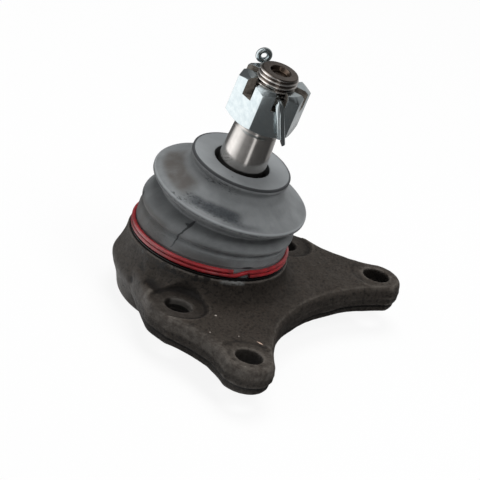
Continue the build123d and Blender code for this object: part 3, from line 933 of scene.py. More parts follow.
        # Painted highlight along the upper edge of the flange's rim.
        upper_rim_highlight = self.edge(graph, self.upper_rim_radius, graph.band(height, *self.upper_rim_height))
        colour = graph.shade(upper_rim_highlight, 0.55, self.pale, colour)
        # Painted shade, broken up, along the lower edge of the flange's rim.
        lower_rim_shade = self.edge(graph, self.lower_rim_radius, graph.band(height, *self.lower_rim_height))
        broken = graph.times(lower_rim_shade, graph.mottled(self.breaks))
        colour = graph.shade(broken, 0.55, self.dark_mark_and_shade, colour)
        # Painted shade inside the lip's hole.
        mouth = self.edge(graph, self.mouth_radius, graph.step(height, *self.mouth_height))
        colour = graph.shade(mouth, 0.93, self.black, colour)
        # Painted shade along the lip's top outer edge.
        lip_edge_shade = self.edge(graph, self.lip_edge_radius, graph.step(height, *self.lip_edge_height))
        return graph.shade(lip_edge_shade, 0.9, self.dark_mark_and_shade, colour)

    def seam(self, graph: Graph) -> Socket:
        """Return the dark line of the mould seam in the wall and the small fold.

        Args:
            graph: Graph to add to.

        Returns:
            The line, from 0 to 1.
        """
        height = graph.axis(2)
        lean = graph.times(graph.minus(height, self.seam_middle), self.seam_lean)
        wander = graph.minus(graph.wander(3.0, 2.0, 4.0), lean)
        off = graph.plus(graph.minus(graph.heading(), Boot.seam_angle), wander)
        extra = graph.times(graph.step(height, *self.seam_spread), self.seam_extra_width)
        away = graph.minus(graph.math("ABSOLUTE", off), extra)
        return graph.times(
            graph.step(away, *self.seam_half_width),
            graph.band(height, *self.seam_height),
            graph.between(graph.step(height, *self.seam_deepening), *self.seam_strength),
        )

    def material(self) -> bpy.types.Material:
        """Build the material.

        Returns:
            The finish of the boot.
        """
        graph = Graph("rubber", Place.MOULD)
        height = graph.axis(2)
        colour = graph.shade(graph.mottled(self.clouds), 0.75, self.dust, self.skin)
        colour = graph.shade(graph.mottled(self.powder), 0.3, self.dust, colour)
        # Painted light on the lip's top face.
        lip_top = self.edge(graph, self.lip_top_radius, graph.step(height, *self.lip_top_height))
        colour = graph.shade(lip_top, 0.5, self.pale, colour)
        # Faint painted light on the neck.
        colour = graph.shade(graph.patch(self.neck), self.neck.strength, self.pale, colour)
        colour = self.marks(graph, self.shade_fields(graph, colour))
        colour = graph.shade(self.seam(graph), 1.0, self.dark_mark_and_shade, colour)
        foot = graph.step(height, *self.foot_height)
        graph.set(
            Base_Color=graph.mix(foot, colour, self.black),
            Roughness=graph.between(foot, 0.56, 0.18),
            Specular_IOR_Level=0.3,
            Normal=graph.relief(self.waves, self.pores),
        )
        return graph.material


@dataclass(frozen=True)
class GroundSteel:
    """Turned and ground steel of the shank, with fine rings and a few scratches."""

    bright: Colour = rgb(0.62, 0.595, 0.57)
    dull: Colour = rgb(0.44, 0.415, 0.395)
    stain: Colour = rgb(0.06, 0.05, 0.045)
    clouds: Mottle = Mottle(5.0, 0.3, 0.75)
    scratches: Mottle = Mottle(0.5, 0.48, 0.58, 4.0, 0.6, (0.5, 0.5, 1.4))
    scratched: Patch = Patch((-135.0, -95.0), (6.0, 10.0), (34.0, 37.5), (9.0, 0.5, 1.2), 0.6)
    ring_width: float = 0.22
    ring_squash: Triple = (0.04, 0.04, 1.0)
    ring_depth: float = 0.0015
    ring_levels: Point = (0.42, 0.62)

    def material(self) -> bpy.types.Material:
        """Build the material.

        Returns:
            The finish of the shank.
        """
        graph = Graph("ground_steel", Place.STUD)
        colour = graph.shade(graph.mottled(self.clouds), 0.5, self.dull, self.bright)
        rings = graph.grain(self.ring_width, 3.0, 0.6, self.ring_squash)
        dull_rings = graph.step(rings, *self.ring_levels)
        colour = graph.shade(dull_rings, 0.10, self.dull, colour)
        scratched = graph.times(graph.patch(self.scratched), graph.mottled(self.scratches))
        colour = graph.shade(scratched, self.scratched.strength, self.stain, colour)
        graph.set(
            Base_Color=colour,
            Metallic=1.0,
            Roughness=graph.between(dull_rings, 0.15, 0.19),
            Normal=graph.bump(rings, self.ring_depth),
        )
        return graph.material


@dataclass(frozen=True)
class ThreadSteel:
    """Rolled thread and end face: darker, brownish steel, with painted highlights on the crests and painted
    shade on the flanks and in the recess.
    """

    # Painted highlight on the thread's crests.
    crest: Colour = rgb(0.94, 0.90, 0.86)
    # The flanks' painted shade, also used for the stains.
    flank: Colour = rgb(0.13, 0.105, 0.088)
    face: Colour = rgb(0.17, 0.14, 0.12)
    # Painted shade in the recess of the end face.
    recess_shade: Colour = rgb(0.10, 0.07, 0.052)
    stains: Mottle = Mottle(1.6, 0.3, 0.75, 5.0)
    waves: Relief = Relief(1.0, 0.03)
    crest_radius: Point = (6.25, 6.83)
    face_radius: Point = (6.25, 6.05)
    face_height: Point = (69.68, 69.78)
    hollow_radius: Point = (3.7, 3.2)
    hollow_height: Point = (60.0, 61.0)

    def material(self) -> bpy.types.Material:
        """Build the material.

        Returns:
            The finish of the threaded end.
        """
        graph = Graph("thread_steel", Place.STUD)
        height, radius = graph.axis(2), graph.radius()
        stains = graph.mottled(self.stains)
        # Painted highlight on the crests and painted shade on the flanks.
        colour = graph.mix(graph.step(radius, *self.crest_radius), self.flank, self.crest)
        colour = graph.shade(stains, 0.18, self.flank, colour)
        face = graph.times(graph.step(height, *self.face_height), graph.step(radius, *self.face_radius))
        colour = graph.shade(face, 0.9, graph.mix(stains, self.face, self.flank), colour)
        # Painted shade in the recess of the end face.
        recess_shade = graph.times(
            graph.step(radius, *self.hollow_radius), graph.step(height, *self.hollow_height)
        )
        colour = graph.shade(recess_shade, 0.85, self.recess_shade, colour)
        graph.set(
            Base_Color=colour,
            Metallic=1.0,
            Roughness=graph.between(stains, 0.18, 0.28),
            Normal=graph.relief(self.waves),
        )
        return graph.material


@dataclass(frozen=True)
class Zinc:
    """Bluish zinc plate, finely mottled, brown inside the slots."""

    name: str = "zinc"
    slots: bool = False
    plate: Colour = rgb(0.56, 0.61, 0.62)
    cool: Colour = rgb(0.48, 0.54, 0.56)
    bare: Colour = rgb(0.20, 0.175, 0.145)
    rust: Colour = rgb(0.10, 0.075, 0.055)
    spangle: Mottle = Mottle(1.8, 0.3, 0.72)
    waves: Relief = Relief(2.0, 0.01, 3.0)

    def material(self) -> bpy.types.Material:
        """Build the material.

        Returns:
            The finish of the pin, or of the nut where slots is set.
        """
        graph = Graph(self.name, Place.STUD)
        spangle = graph.mottled(self.spangle)
        colour = graph.mix(spangle, self.plate, self.cool)
        metal = 1.0
        if self.slots:
            bare = graph.stored(CastleNut.BARE)
            colour = graph.shade(bare, 0.9, graph.mix(spangle, self.bare, self.rust), colour)
            metal = graph.between(bare, 1.0, 0.25)
        graph.set(
            Base_Color=colour,
            Metallic=metal,
            Roughness=graph.between(spangle, 0.13, 0.21),
            Normal=graph.relief(self.waves),
        )
        return graph.material


@dataclass(frozen=True)
class RedCoat:
    """Red coated wire with a little dirt."""

    coat: Colour = rgb(0.29, 0.016, 0.021)
    deep: Colour = rgb(0.15, 0.012, 0.015)
    dirt: Colour = rgb(0.03, 0.022, 0.02)
    clouds: Mottle = Mottle(2.2, 0.4, 0.75, 5.0)
    grime: Mottle = Mottle(1.1, 0.62, 0.72, 6.0, 0.7)
    waves: Relief = Relief(0.4, 0.02)

    def material(self) -> bpy.types.Material:
        """Build the material.

        Returns:
            The finish of the wire ring.
        """
        graph = Graph("red_wire")
        grime = graph.mottled(self.grime)
        colour = graph.mix(graph.mottled(self.clouds), self.coat, self.deep)
        graph.set(
            Base_Color=graph.shade(grime, 0.5, self.dirt, colour),
            Roughness=graph.between(grime, 0.28, 0.58),
            Specular_IOR_Level=0.7,
            Normal=graph.relief(self.waves),
        )
        return graph.material


@dataclass(frozen=True)
class PlainFinish:
    """Metal, plastic or rubber of a hidden or lower part: fine grain and clouds.

    Attributes:
        name: Name of the material.
        skin: Main colour.
        clouds: Colour of the clouds.
        roughness: Mean roughness.
        metallic: 1 for a metal and 0 for plastic or rubber.
        cloud_size: Size of the clouds in mm.
        grain_size: Size of the grain in mm.
        grain_depth: Height of the grain in mm.
        spread: How far the roughness goes to each side of its mean.
    """

    name: str
    skin: Colour
    clouds: Colour
    roughness: float
    metallic: float = 1.0
    cloud_size: float = 4.8
    grain_size: float = 0.3
    grain_depth: float = 0.012
    spread: float = 0.1

    def material(self) -> bpy.types.Material:
        """Build the material.

        Returns:
            The plain finish.
        """
        graph = Graph(self.name)
        clouds = graph.mottled(Mottle(self.cloud_size, 0.3, 0.72, 5.0))
        fine = graph.grain(self.grain_size, 5.0, 0.7)
        graph.set(
            Base_Color=graph.mix(clouds, self.skin, self.clouds),
            Metallic=self.metallic,
            Roughness=graph.between(fine, self.roughness - self.spread, self.roughness + self.spread),
            Normal=graph.bump(fine, self.grain_depth),
        )
        return graph.material


@dataclass(frozen=True)
class Corner:
    """Corner of a half section.

    Attributes:
        radius: Distance from the axis.
        height: Distance along the axis.
        cut: Length of each side that the rounding takes.
    """

    radius: float
    height: float
    cut: float = 0.0


ROUNDING_STEPS = 7
LARGEST_CUT = 0.48
AXIS_RADIUS = 1e-6


def rounded(corners: list[Corner], closed: bool, step: float) -> list[Point]:
    """Return the points of a section with its corners rounded and its long sides divided.

    Args:
        corners: The corners in order, upwards on the outside.
        closed: Whether the last corner joins the first.
        step: Longest distance between two points on a straight side.

    Returns:
        Radii and heights in the order of the corners.
    """
    at = [Vector((c.radius, c.height)) for c in corners]
    count = len(corners)
    points: list[Vector] = []
    for index, corner in enumerate(corners):
        here = at[index]
        if corner.cut <= 0.0 or (not closed and index in (0, count - 1)):
            points.append(here)
            continue
        before, after = at[index - 1] - here, at[(index + 1) % count] - here
        cut = min(corner.cut, before.length * LARGEST_CUT, after.length * LARGEST_CUT)
        start, end = here + before.normalized() * cut, here + after.normalized() * cut
        for k in range(ROUNDING_STEPS + 1):
            t = k / ROUNDING_STEPS
            points.append(start * (1 - t) ** 2 + here * (2 * t * (1 - t)) + end * t * t)
    dense: list[Point] = []
    pairs = len(points) if closed else len(points) - 1
    for index in range(pairs):
        a, b = points[index], points[(index + 1) % len(points)]
        parts = max(1, math.ceil((b - a).length / step))
        dense += [tuple(a.lerp(b, k / parts)) for k in range(parts)]
    return dense if closed else dense + [tuple(points[-1])]


def turned(name: str, section: list[Point], closed: bool, segments: int, place: Placer) -> bpy.types.Object:
    """Build a solid of revolution, or one bent from it.

    Args:
        name: Name of the new piece.
        section: Radii and heights, upwards on the outside.
        closed: Whether the section is a loop; otherwise its ends lie on the axis.
        segments: Number of steps round the axis.
        place: Gives the place in metres of a radius, an angle and a height.

    Returns:
        The new object, with the plain form kept in the attribute mould.
    """
    mesh = bmesh.new()
    mould = mesh.verts.layers.float_vector.new(Place.MOULD.value)
    rows = []
    for radius, height in section:
        steps = 1 if radius < AXIS_RADIUS else segments
        row = []
        for index in range(steps):
            angle = 2 * math.pi * index / steps
            vertex = mesh.verts.new(place(radius, angle, height))
            vertex[mould] = Vector((radius * math.cos(angle), radius * math.sin(angle), height))
            row.append(vertex)
        rows.append(row)
    pairs = len(rows) if closed else len(rows) - 1
    for index in range(pairs):
        low, high = rows[index], rows[(index + 1) % len(rows)]
        for k in range(segments):
            n = (k + 1) % segments
            loop = [low[k % len(low)], low[n % len(low)], high[n % len(high)], high[k % len(high)]]
            corners = [v for i, v in enumerate(loop) if v not in loop[:i]]
            if len(corners) > 2:
                mesh.faces.new(corners)
    return new_piece(name, mesh)


def new_piece(name: str, mesh: bmesh.types.BMesh) -> bpy.types.Object:
    """Turn a bmesh into a smooth piece of the scene.

    Args:
        name: Name of the piece.
        mesh: Its form, which is freed.

    Returns:
        The new object.
    """
    data = bpy.data.meshes.new(name)
    mesh.to_mesh(data)
    mesh.free()
    data.shade_smooth()
    piece = bpy.data.objects.new(name, data)
    bpy.context.scene.collection.objects.link(piece)
    return piece


def sharpen(piece: bpy.types.Object, degrees: float) -> None:
    """Mark the edges that turn by more than an angle as sharp.

    Args:
        piece: Piece to mark.
        degrees: Largest turn that stays smooth.
    """
    mesh = bmesh.new()
    mesh.from_mesh(piece.data)
    for edge in mesh.edges:
        edge.smooth = not (len(edge.link_faces) == 2 and edge.calc_face_angle(0.0) > math.radians(degrees))
    mesh.to_mesh(piece.data)
    mesh.free()


def bake(piece: bpy.types.Object) -> None:
    """Turn a piece's modifiers into a plain mesh and remove them.

    Args:
        piece: Piece with modifiers.
    """
    graph = bpy.context.evaluated_depsgraph_get()
    data = bpy.data.meshes.new_from_object(piece.evaluated_get(graph))
    piece.modifiers.clear()
    piece.data = data


def merged(node: str) -> bmesh.types.BMesh:
    """Return a copy of a node's mesh with its loose triangles joined.

    Args:
        node: Name of the node.

    Returns:
        The mesh, which the caller frees.
    """
    mesh = bmesh.new()
    mesh.from_mesh(frame["nodes"][node].data)
    bmesh.ops.remove_doubles(mesh, verts=mesh.verts, dist=MERGE_DISTANCE)
    return mesh


def dress(piece: bpy.types.Object, material: bpy.types.Material) -> None:
    """Give every face of a piece one material."""
    piece.data.materials.clear()
    piece.data.materials.append(material)


def finish_piece(piece: bpy.types.Object, slot: Slot, *nodes: str) -> None:
    """Hide the nodes that a piece stands for, and log how many faces it has.

    Args:
        piece: Piece that is complete.
        slot: Slot of its finish; not used.
        nodes: Nodes that it replaces.
    """
    if nodes:
        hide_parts(*nodes)
    LOG.info("%s: %d faces", piece.name, len(piece.data.polygons))


@dataclass
class ForgedHousing:
    """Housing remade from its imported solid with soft, uneven forged faces.

    Attributes:
        voxel: Size of the voxels of the new mesh.
        soften: Steps and share of the smoothing of the forged faces.
        clean: Steps and share of the smoothing of the machined faces.
        broad: Steps and share of the smoothing that the convex places stand out from.
        convex_full: Distance from the broad form at which a place counts as fully convex.
        lump, lump_size: Height and size of the broad unevenness.
        sink: Share of the lumps' height that the faces sink by.
        ripple, ripple_size: Height and size of the small unevenness.
        machined_radius, machined_height: Inside and above these the housing is turned smooth.
        hole_radius: Radius of the machined face round a bolt hole.
        radius_blend, height_blend, hole_blend: Widths over which a machined face turns forged.
        rim_radius: Radius outside which the parting land shows.
        boss_radius: Distance from a bolt hole outside which it shows.
        rim_blend, boss_blend: Widths over which it comes up from there.
        groove_height, groove_depth, groove_width: Middle, depth and width of its groove.
        ridge_height, ridge_rise: Middle and height of its ridge.
        parting_wander, parting_size: How far the land wanders, and over what length.
        dents: Middle, radius and depth of the dents beside the near pocket.
    """

    # Convexity stored on the housing, which the forging turns into scuffing, painted highlights and painted
    # shade.
    CONVEXITY = "convex"

    voxel: float = 0.55
    soften: tuple[int, float] = (5, 0.5)
    clean: tuple[int, float] = (2, 0.4)
    broad: tuple[int, float] = (14, 0.5)
    convex_full: float = 0.25
    lump: float = 0.22
    lump_size: float = 9.0
    sink: float = 0.25
    ripple: float = 0.05
    ripple_size: float = 2.6
    machined_radius: float = 27.4
    machined_height: float = 0.0
    hole_radius: float = 10.7
    radius_blend: float = 0.5
    height_blend: float = 0.8
    hole_blend: float = 1.5
    rim_radius: float = 33.0
    rim_blend: float = 1.5
    boss_radius: float = 6.5
    boss_blend: float = 1.0
    groove_height: float = -12.75
    groove_depth: float = 0.42
    groove_width: float = 0.5
    ridge_height: float = -9.6
    ridge_rise: float = 0.14
    parting_wander: float = 0.55
    parting_size: float = 9.0
    dents: tuple[tuple[Triple, float, float], ...] = (
        ((-2.2, -32.8, -5.0), 2.6, 0.8),
        ((1.4, -34.2, -5.2), 2.6, 0.8),
        ((-11.0, -28.7, -10.2), 1.8, 0.5),
    )

    @staticmethod
    def averaged(points: np.ndarray, edges: np.ndarray, steps: int, share: float) -> np.ndarray:
        """Return points averaged with their neighbours, several times over.

        Args:
            points: Places of the vertices.
            edges: Pairs of indices of neighbours.
            steps: How often the points move.
            share: How far each goes to its neighbours' mean in one step.

        Returns:
            The moved points.
        """
        count = np.bincount(edges.ravel(), minlength=len(points)).astype(float)
        count = np.maximum(count, 1.0)[:, None]
        for _ in range(steps):
            total = np.zeros_like(points)
            np.add.at(total, edges[:, 0], points[edges[:, 1]])
            np.add.at(total, edges[:, 1], points[edges[:, 0]])
            points = points + share * (total / count - points)
        return points

    @staticmethod
    def away(points: np.ndarray, x: float = 0.0, y: float = 0.0) -> np.ndarray:
        """Return the distances of points from an upright line."""
        return np.hypot(points[:, 0] - x, points[:, 1] - y)

    @staticmethod
    def risen(distance: np.ndarray, blend: float) -> np.ndarray:
        """Return 0 below no distance and 1 above a blending length."""
        return np.clip(distance / blend, 0.0, 1.0)

    def forged_share(self, points: np.ndarray) -> np.ndarray:
        """Return 1 on rough forged faces and 0 on machined ones, for points in mm.

        Args:
            points: Places in mm.

        Returns:
            One share for each point.
        """
        share = self.risen(self.away(points) - self.machined_radius, self.radius_blend)
        share = share * self.risen(self.machined_height - points[:, 2], self.height_blend)
        for x, y in OUTER_HOLES + INNER_HOLES:
            share = share * self.risen(self.away(points, x, y) - self.hole_radius, self.hole_blend)
        return share

    def uneven(self, points: np.ndarray) -> np.ndarray:
        """Return how far lumps and ripples lift the forged faces, for points in mm.

        Args:
            points: Places in mm.

        Returns:
            One height in mm for each point.
        """
        return np.array([
            self.lump * (noise.noise(Vector(p / self.lump_size)) - self.sink)
            + self.ripple * noise.noise(Vector(p / self.ripple_size))
            for p in points
        ])

    def dented(self, points: np.ndarray) -> np.ndarray:
        """Return the depth of the dents, for points in mm.

        Args:
            points: Places in mm.

        Returns:
            One depth in mm for each point.
        """
        depth = np.zeros(len(points))
        for middle, size, most in self.dents:
            away = np.linalg.norm(points - np.array(middle), axis=1)
            depth += most * np.exp(-((away / size) ** 2))
        return depth

    def parting(self, points: np.ndarray) -> np.ndarray:
        """Return how far the ridge and the groove of the parting land lift the rim, for points in mm.

        Args:
            points: Places in mm.

        Returns:
            One height in mm for each point.
        """
        wander = [self.parting_wander * noise.noise(Vector(p / self.parting_size)) for p in points]
        height = points[:, 2] + np.array(wander)
        rim = self.risen(self.away(points) - self.rim_radius, self.rim_blend)
        for x, y in OUTER_HOLES + INNER_HOLES:
            rim = rim * self.risen(self.away(points, x, y) - self.boss_radius, self.boss_blend)
        groove = np.exp(-(((height - self.groove_height) / self.groove_width) ** 2))
        ridge = np.exp(-(((height - self.ridge_height) / self.groove_width) ** 2))
        return rim * (ridge * self.ridge_rise - groove * self.groove_depth)

    @staticmethod
    def read(values: bpy.types.bpy_prop_collection, key: str, width: int, kind: type = float) -> np.ndarray:
        """Return one property of all vertices or edges, a row each.

        Args:
            values: The vertices or edges.
            key: Name of the property.
            width: Numbers in a row.
            kind: Kind of number.

        Returns:
            The rows.
        """
        flat = np.empty(len(values) * width, dtype=kind)
        values.foreach_get(key, flat)
        return flat.reshape(-1, width)

    @staticmethod
    def move(data: bpy.types.Mesh, points: np.ndarray) -> None:
        """Move the vertices of a mesh to points in mm."""
        data.vertices.foreach_set("co", (points * MM).ravel())
        data.update()

    def build(self, forging: bpy.types.Material) -> None:
        """Build the piece.

        Args:
            forging: Finish of the housing.
        """
        piece = new_piece("housing_forged", merged("housing"))
        remesh = piece.modifiers.new("voxels", "REMESH")
        remesh.mode = "VOXEL"
        remesh.voxel_size = self.voxel * MM
        bake(piece)
        data = piece.data
        points = self.read(data.vertices, "co", 3) / MM
        edges = self.read(data.edges, "vertices", 2, np.int64)
        forged = self.forged_share(points)
        soft = self.averaged(points, edges, *self.soften)
        machined = self.averaged(points, edges, *self.clean)
        points = machined + (soft - machined) * forged[:, None]
        self.move(data, points)
        normals = self.read(data.vertices, "normal", 3)
        lift = self.uneven(points) * forged + self.parting(points) - self.dented(points)
        points = points + normals * lift[:, None]
        points = np.clip(points, np.array(cad_box[0]) / MM, np.array(cad_box[1]) / MM)
        self.move(data, points)
        convex = ((points - self.averaged(points, edges, *self.broad)) * normals).sum(axis=1)
        stored = data.attributes.new(self.CONVEXITY, "FLOAT", "POINT")
        convex = np.clip(convex / self.convex_full, -1.0, 1.0)
        stored.data.foreach_set("value", convex.astype(np.float32))
        data.shade_smooth()
        dress(piece, forging)
        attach(piece, Body.HOUSING.value)
        finish_piece(piece, Slot.FORGING, "housing")


@dataclass
class Boot:
    """Rubber bellows in two pieces that meet in the valley between the folds.

    Attributes:
        segments, step: Number of steps round the axis and length of a step along the section.
        crease: Angle in degrees from which an edge is shown sharp.
        lean_start, lean_end: Heights between which the boot takes up the lean of the stud.
        split: Height where the two pieces meet.
        foot, groove, side, fold, valley, flange, lip, mouth, bore: Radii from the bottom up.
        foot_floor, groove_floor, lip_top: Heights of the foot, of the ring's groove and of the lip.
        wall: Thickness of the wall in the valley.
        ring_radii, ring_heights: Room for the stiffening ring inside the lip.
        swell, swell_size: Height and size of the unevenness above the foot.
        swell_foot, swell_blend: Height where it starts, and the length over which it grows.
        seam_angle, seam_rise, seam_width: Direction, height and width of the mould seam.
        seam_heights: Heights between which the seam stands out.
        lower_start, lower_end, upper_start, upper_end: Heights of the spans handed to the two pieces.
    """

    segments: int = 300
    step: float = 0.5
    crease: float = 50.0
    lean_start: float = 5.0
    lean_end: float = 20.0
    split: float = 17.6
    foot: float = 27.1
    foot_floor: float = 1.35
    foot_edge: float = 23.5
    groove: float = 25.95
    groove_floor: float = 1.98
    side: float = 26.2
    side_inner: float = 24.7
    fold: float = 26.6
    fold_inner: float = 24.6
    valley: float = 22.6
    wall: float = 2.0
    flange: float = 27.3
    flange_inner: float = 24.3
    lip: float = 17.45
    lip_top: float = 33.9
    mouth: float = 9.9
    bore: float = 8.8
    ring_radii: Point = (10.55, 14.45)
    ring_heights: Point = (29.2, 30.85)
    swell: float = 0.10
    swell_size: float = 7.0
    swell_foot: float = 6.0
    swell_blend: float = 3.0
    seam_angle: float = -91.0
    seam_rise: float = 0.12
    seam_width: float = 0.35
    seam_heights: Point = (6.2, 13.8)
    lower_start: float = 6.0
    lower_end: float = 16.5
    upper_start: float = 18.6
    upper_end: float = 29.0

    def follow(self, height: float) -> float:
        """Return the share of the stud's lean that the boot takes at a height."""
        share = min(max((height - self.lean_start) / (self.lean_end - self.lean_start), 0.0), 1.0)
        return share * share * (3.0 - 2.0 * share)

    def lift(self, radius: float, angle: float, height: float) -> float:
        """Return how far the unevenness and the mould seam stand out at a place.

        Args:
            radius: Radius in mm.
            angle: Direction in radians.
            height: Height in mm.

        Returns:
            Height above the plain form in mm.
        """
        share = min(max((height - self.swell_foot) / self.swell_blend, 0.0), 1.0)
        along = Vector((math.cos(angle) * radius, math.sin(angle) * radius, height))
        swell = share * self.swell * noise.noise(along / self.swell_size)
        if not self.seam_heights[0] < height < self.seam_heights[1]:
            return swell
        off = angle - math.radians(self.seam_angle % 360.0)
        return swell + self.seam_rise * math.exp(-((off * radius / self.seam_width) ** 2))

    def place(self, radius: float, angle: float, height: float) -> Vector:
        """Return the place of a point of the moulded boot on the leaning one.

        Args:
            radius: Radius in mm.
            angle: Direction in radians.
            height: Height in mm.

        Returns:
            The place in metres.
        """
        size = radius + self.lift(radius, angle, height)
        point = Vector((math.cos(angle) * size, math.sin(angle) * size, height)) * MM
        return Matrix.Rotation(LEAN * self.follow(height), 3, "Y") @ point

    def lower_section(self) -> list[Corner]:
        """Return the section of the foot, the groove, the wall and the small fold.

        Returns:
            Corners, upwards on the outside and down on the inside.
        """
        inner = self.valley - self.wall
        return [
            Corner(self.foot_edge, self.foot_floor, 0.15),
            Corner(self.foot, self.foot_floor, 0.15),
            Corner(self.foot, 1.78, 0.18),
            Corner(self.groove, self.groove_floor, 0.12),
            Corner(self.groove, 5.25, 0.12),
            Corner(self.side, 5.6, 0.2),
            Corner(self.side, 9.3, 0.7),
            Corner(25.3, 10.5, 0.3),
            Corner(self.fold, 11.9, 0.8),
            Corner(self.fold, 13.3, 0.9),
            Corner(24.7, 15.7, 1.4),
            Corner(self.valley, 17.2, 0.4),
            Corner(self.valley, self.split),
            Corner(inner, self.split),
            Corner(inner, 17.2, 0.5),
            Corner(self.fold_inner, 13.25, 0.8),
            Corner(self.fold_inner, 11.95, 0.8),
            Corner(self.side_inner, 9.3, 0.3),
            Corner(self.side_inner, 6.3, 0.2),
            Corner(self.foot_edge, 5.1, 0.2),
        ]

    def upper_section(self) -> list[Corner]:
        """Return the section of the flange, the cone, the neck and the lip.

        Returns:
            Corners, upwards on the outside and down on the inside.
        """
        inner = self.valley - self.wall
        ring_inner, ring_outer = self.ring_radii
        ring_foot, ring_top = self.ring_heights
        return [
            Corner(self.valley, self.split),
            Corner(self.valley, 18.0, 0.4),
            Corner(26.7, 21.2, 0.4),
            Corner(self.flange, 21.7, 0.3),
            Corner(self.flange, 22.7, 0.35),
            Corner(26.7, 23.2, 0.5),
            Corner(21.6, 25.3, 2.4),
            Corner(17.6, 28.3, 1.6),
            Corner(16.3, 30.6, 0.9),
            Corner(self.lip, 32.2, 0.5),
            Corner(self.lip, self.lip_top, 0.35),
            Corner(self.mouth, self.lip_top, 0.3),
            Corner(self.bore, 31.8, 0.4),
            Corner(self.bore, ring_foot, 0.1),
            Corner(ring_inner, ring_foot, 0.1),
            Corner(ring_inner, ring_top, 0.1),
            Corner(ring_outer, ring_top, 0.1),
            Corner(ring_outer, ring_foot, 0.1),
            Corner(15.6, 27.8, 0.5),
            Corner(19.6, 24.3, 0.8),
            Corner(self.flange_inner, 22.2, 0.3),
            Corner(self.flange_inner, 21.7, 0.3),
            Corner(inner, 18.0, 0.3),
            Corner(inner, self.split),
        ]

    def bellows(
        self,
        name: str,
        section: list[Corner],
        rubber: bpy.types.Material,
        low: Body,
        high: Body,
        start: Vector,
        end: Vector,
    ) -> None:
        """Build one piece, bent by height towards the stud's lean.

        Args:
            name: Name of the piece.
            section: Corners of its section.
            rubber: Its finish.
            low: Body that its lower end would ride; not used.
            high: Body that its upper end would ride; not used.
            start: Place in metres where it would start to leave the lower body; not used.
            end: Place where it would have joined the upper body; not used.
        """
        piece = turned(name, rounded(section, True, self.step), True, self.segments, self.place)
        sharpen(piece, self.crease)
        dress(piece, rubber)
        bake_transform(piece)
        finish_piece(piece, Slot.RUBBER, "boot")

    def build(self, rubber: bpy.types.Material) -> None:
        """Build both pieces.

        Args:
            rubber: Finish of the boot.
        """
        up, lean = Vector((0.0, 0.0, MM)), STUD_AXIS
        lower = up * self.lower_start, up * self.lower_end
        upper = lean * self.upper_start * MM, lean * self.upper_end * MM
        self.bellows("boot_lower", self.lower_section(), rubber, Body.HOUSING, Body.CAP, *lower)
        self.bellows("boot_upper", self.upper_section(), rubber, Body.CAP, Body.LIP, *upper)


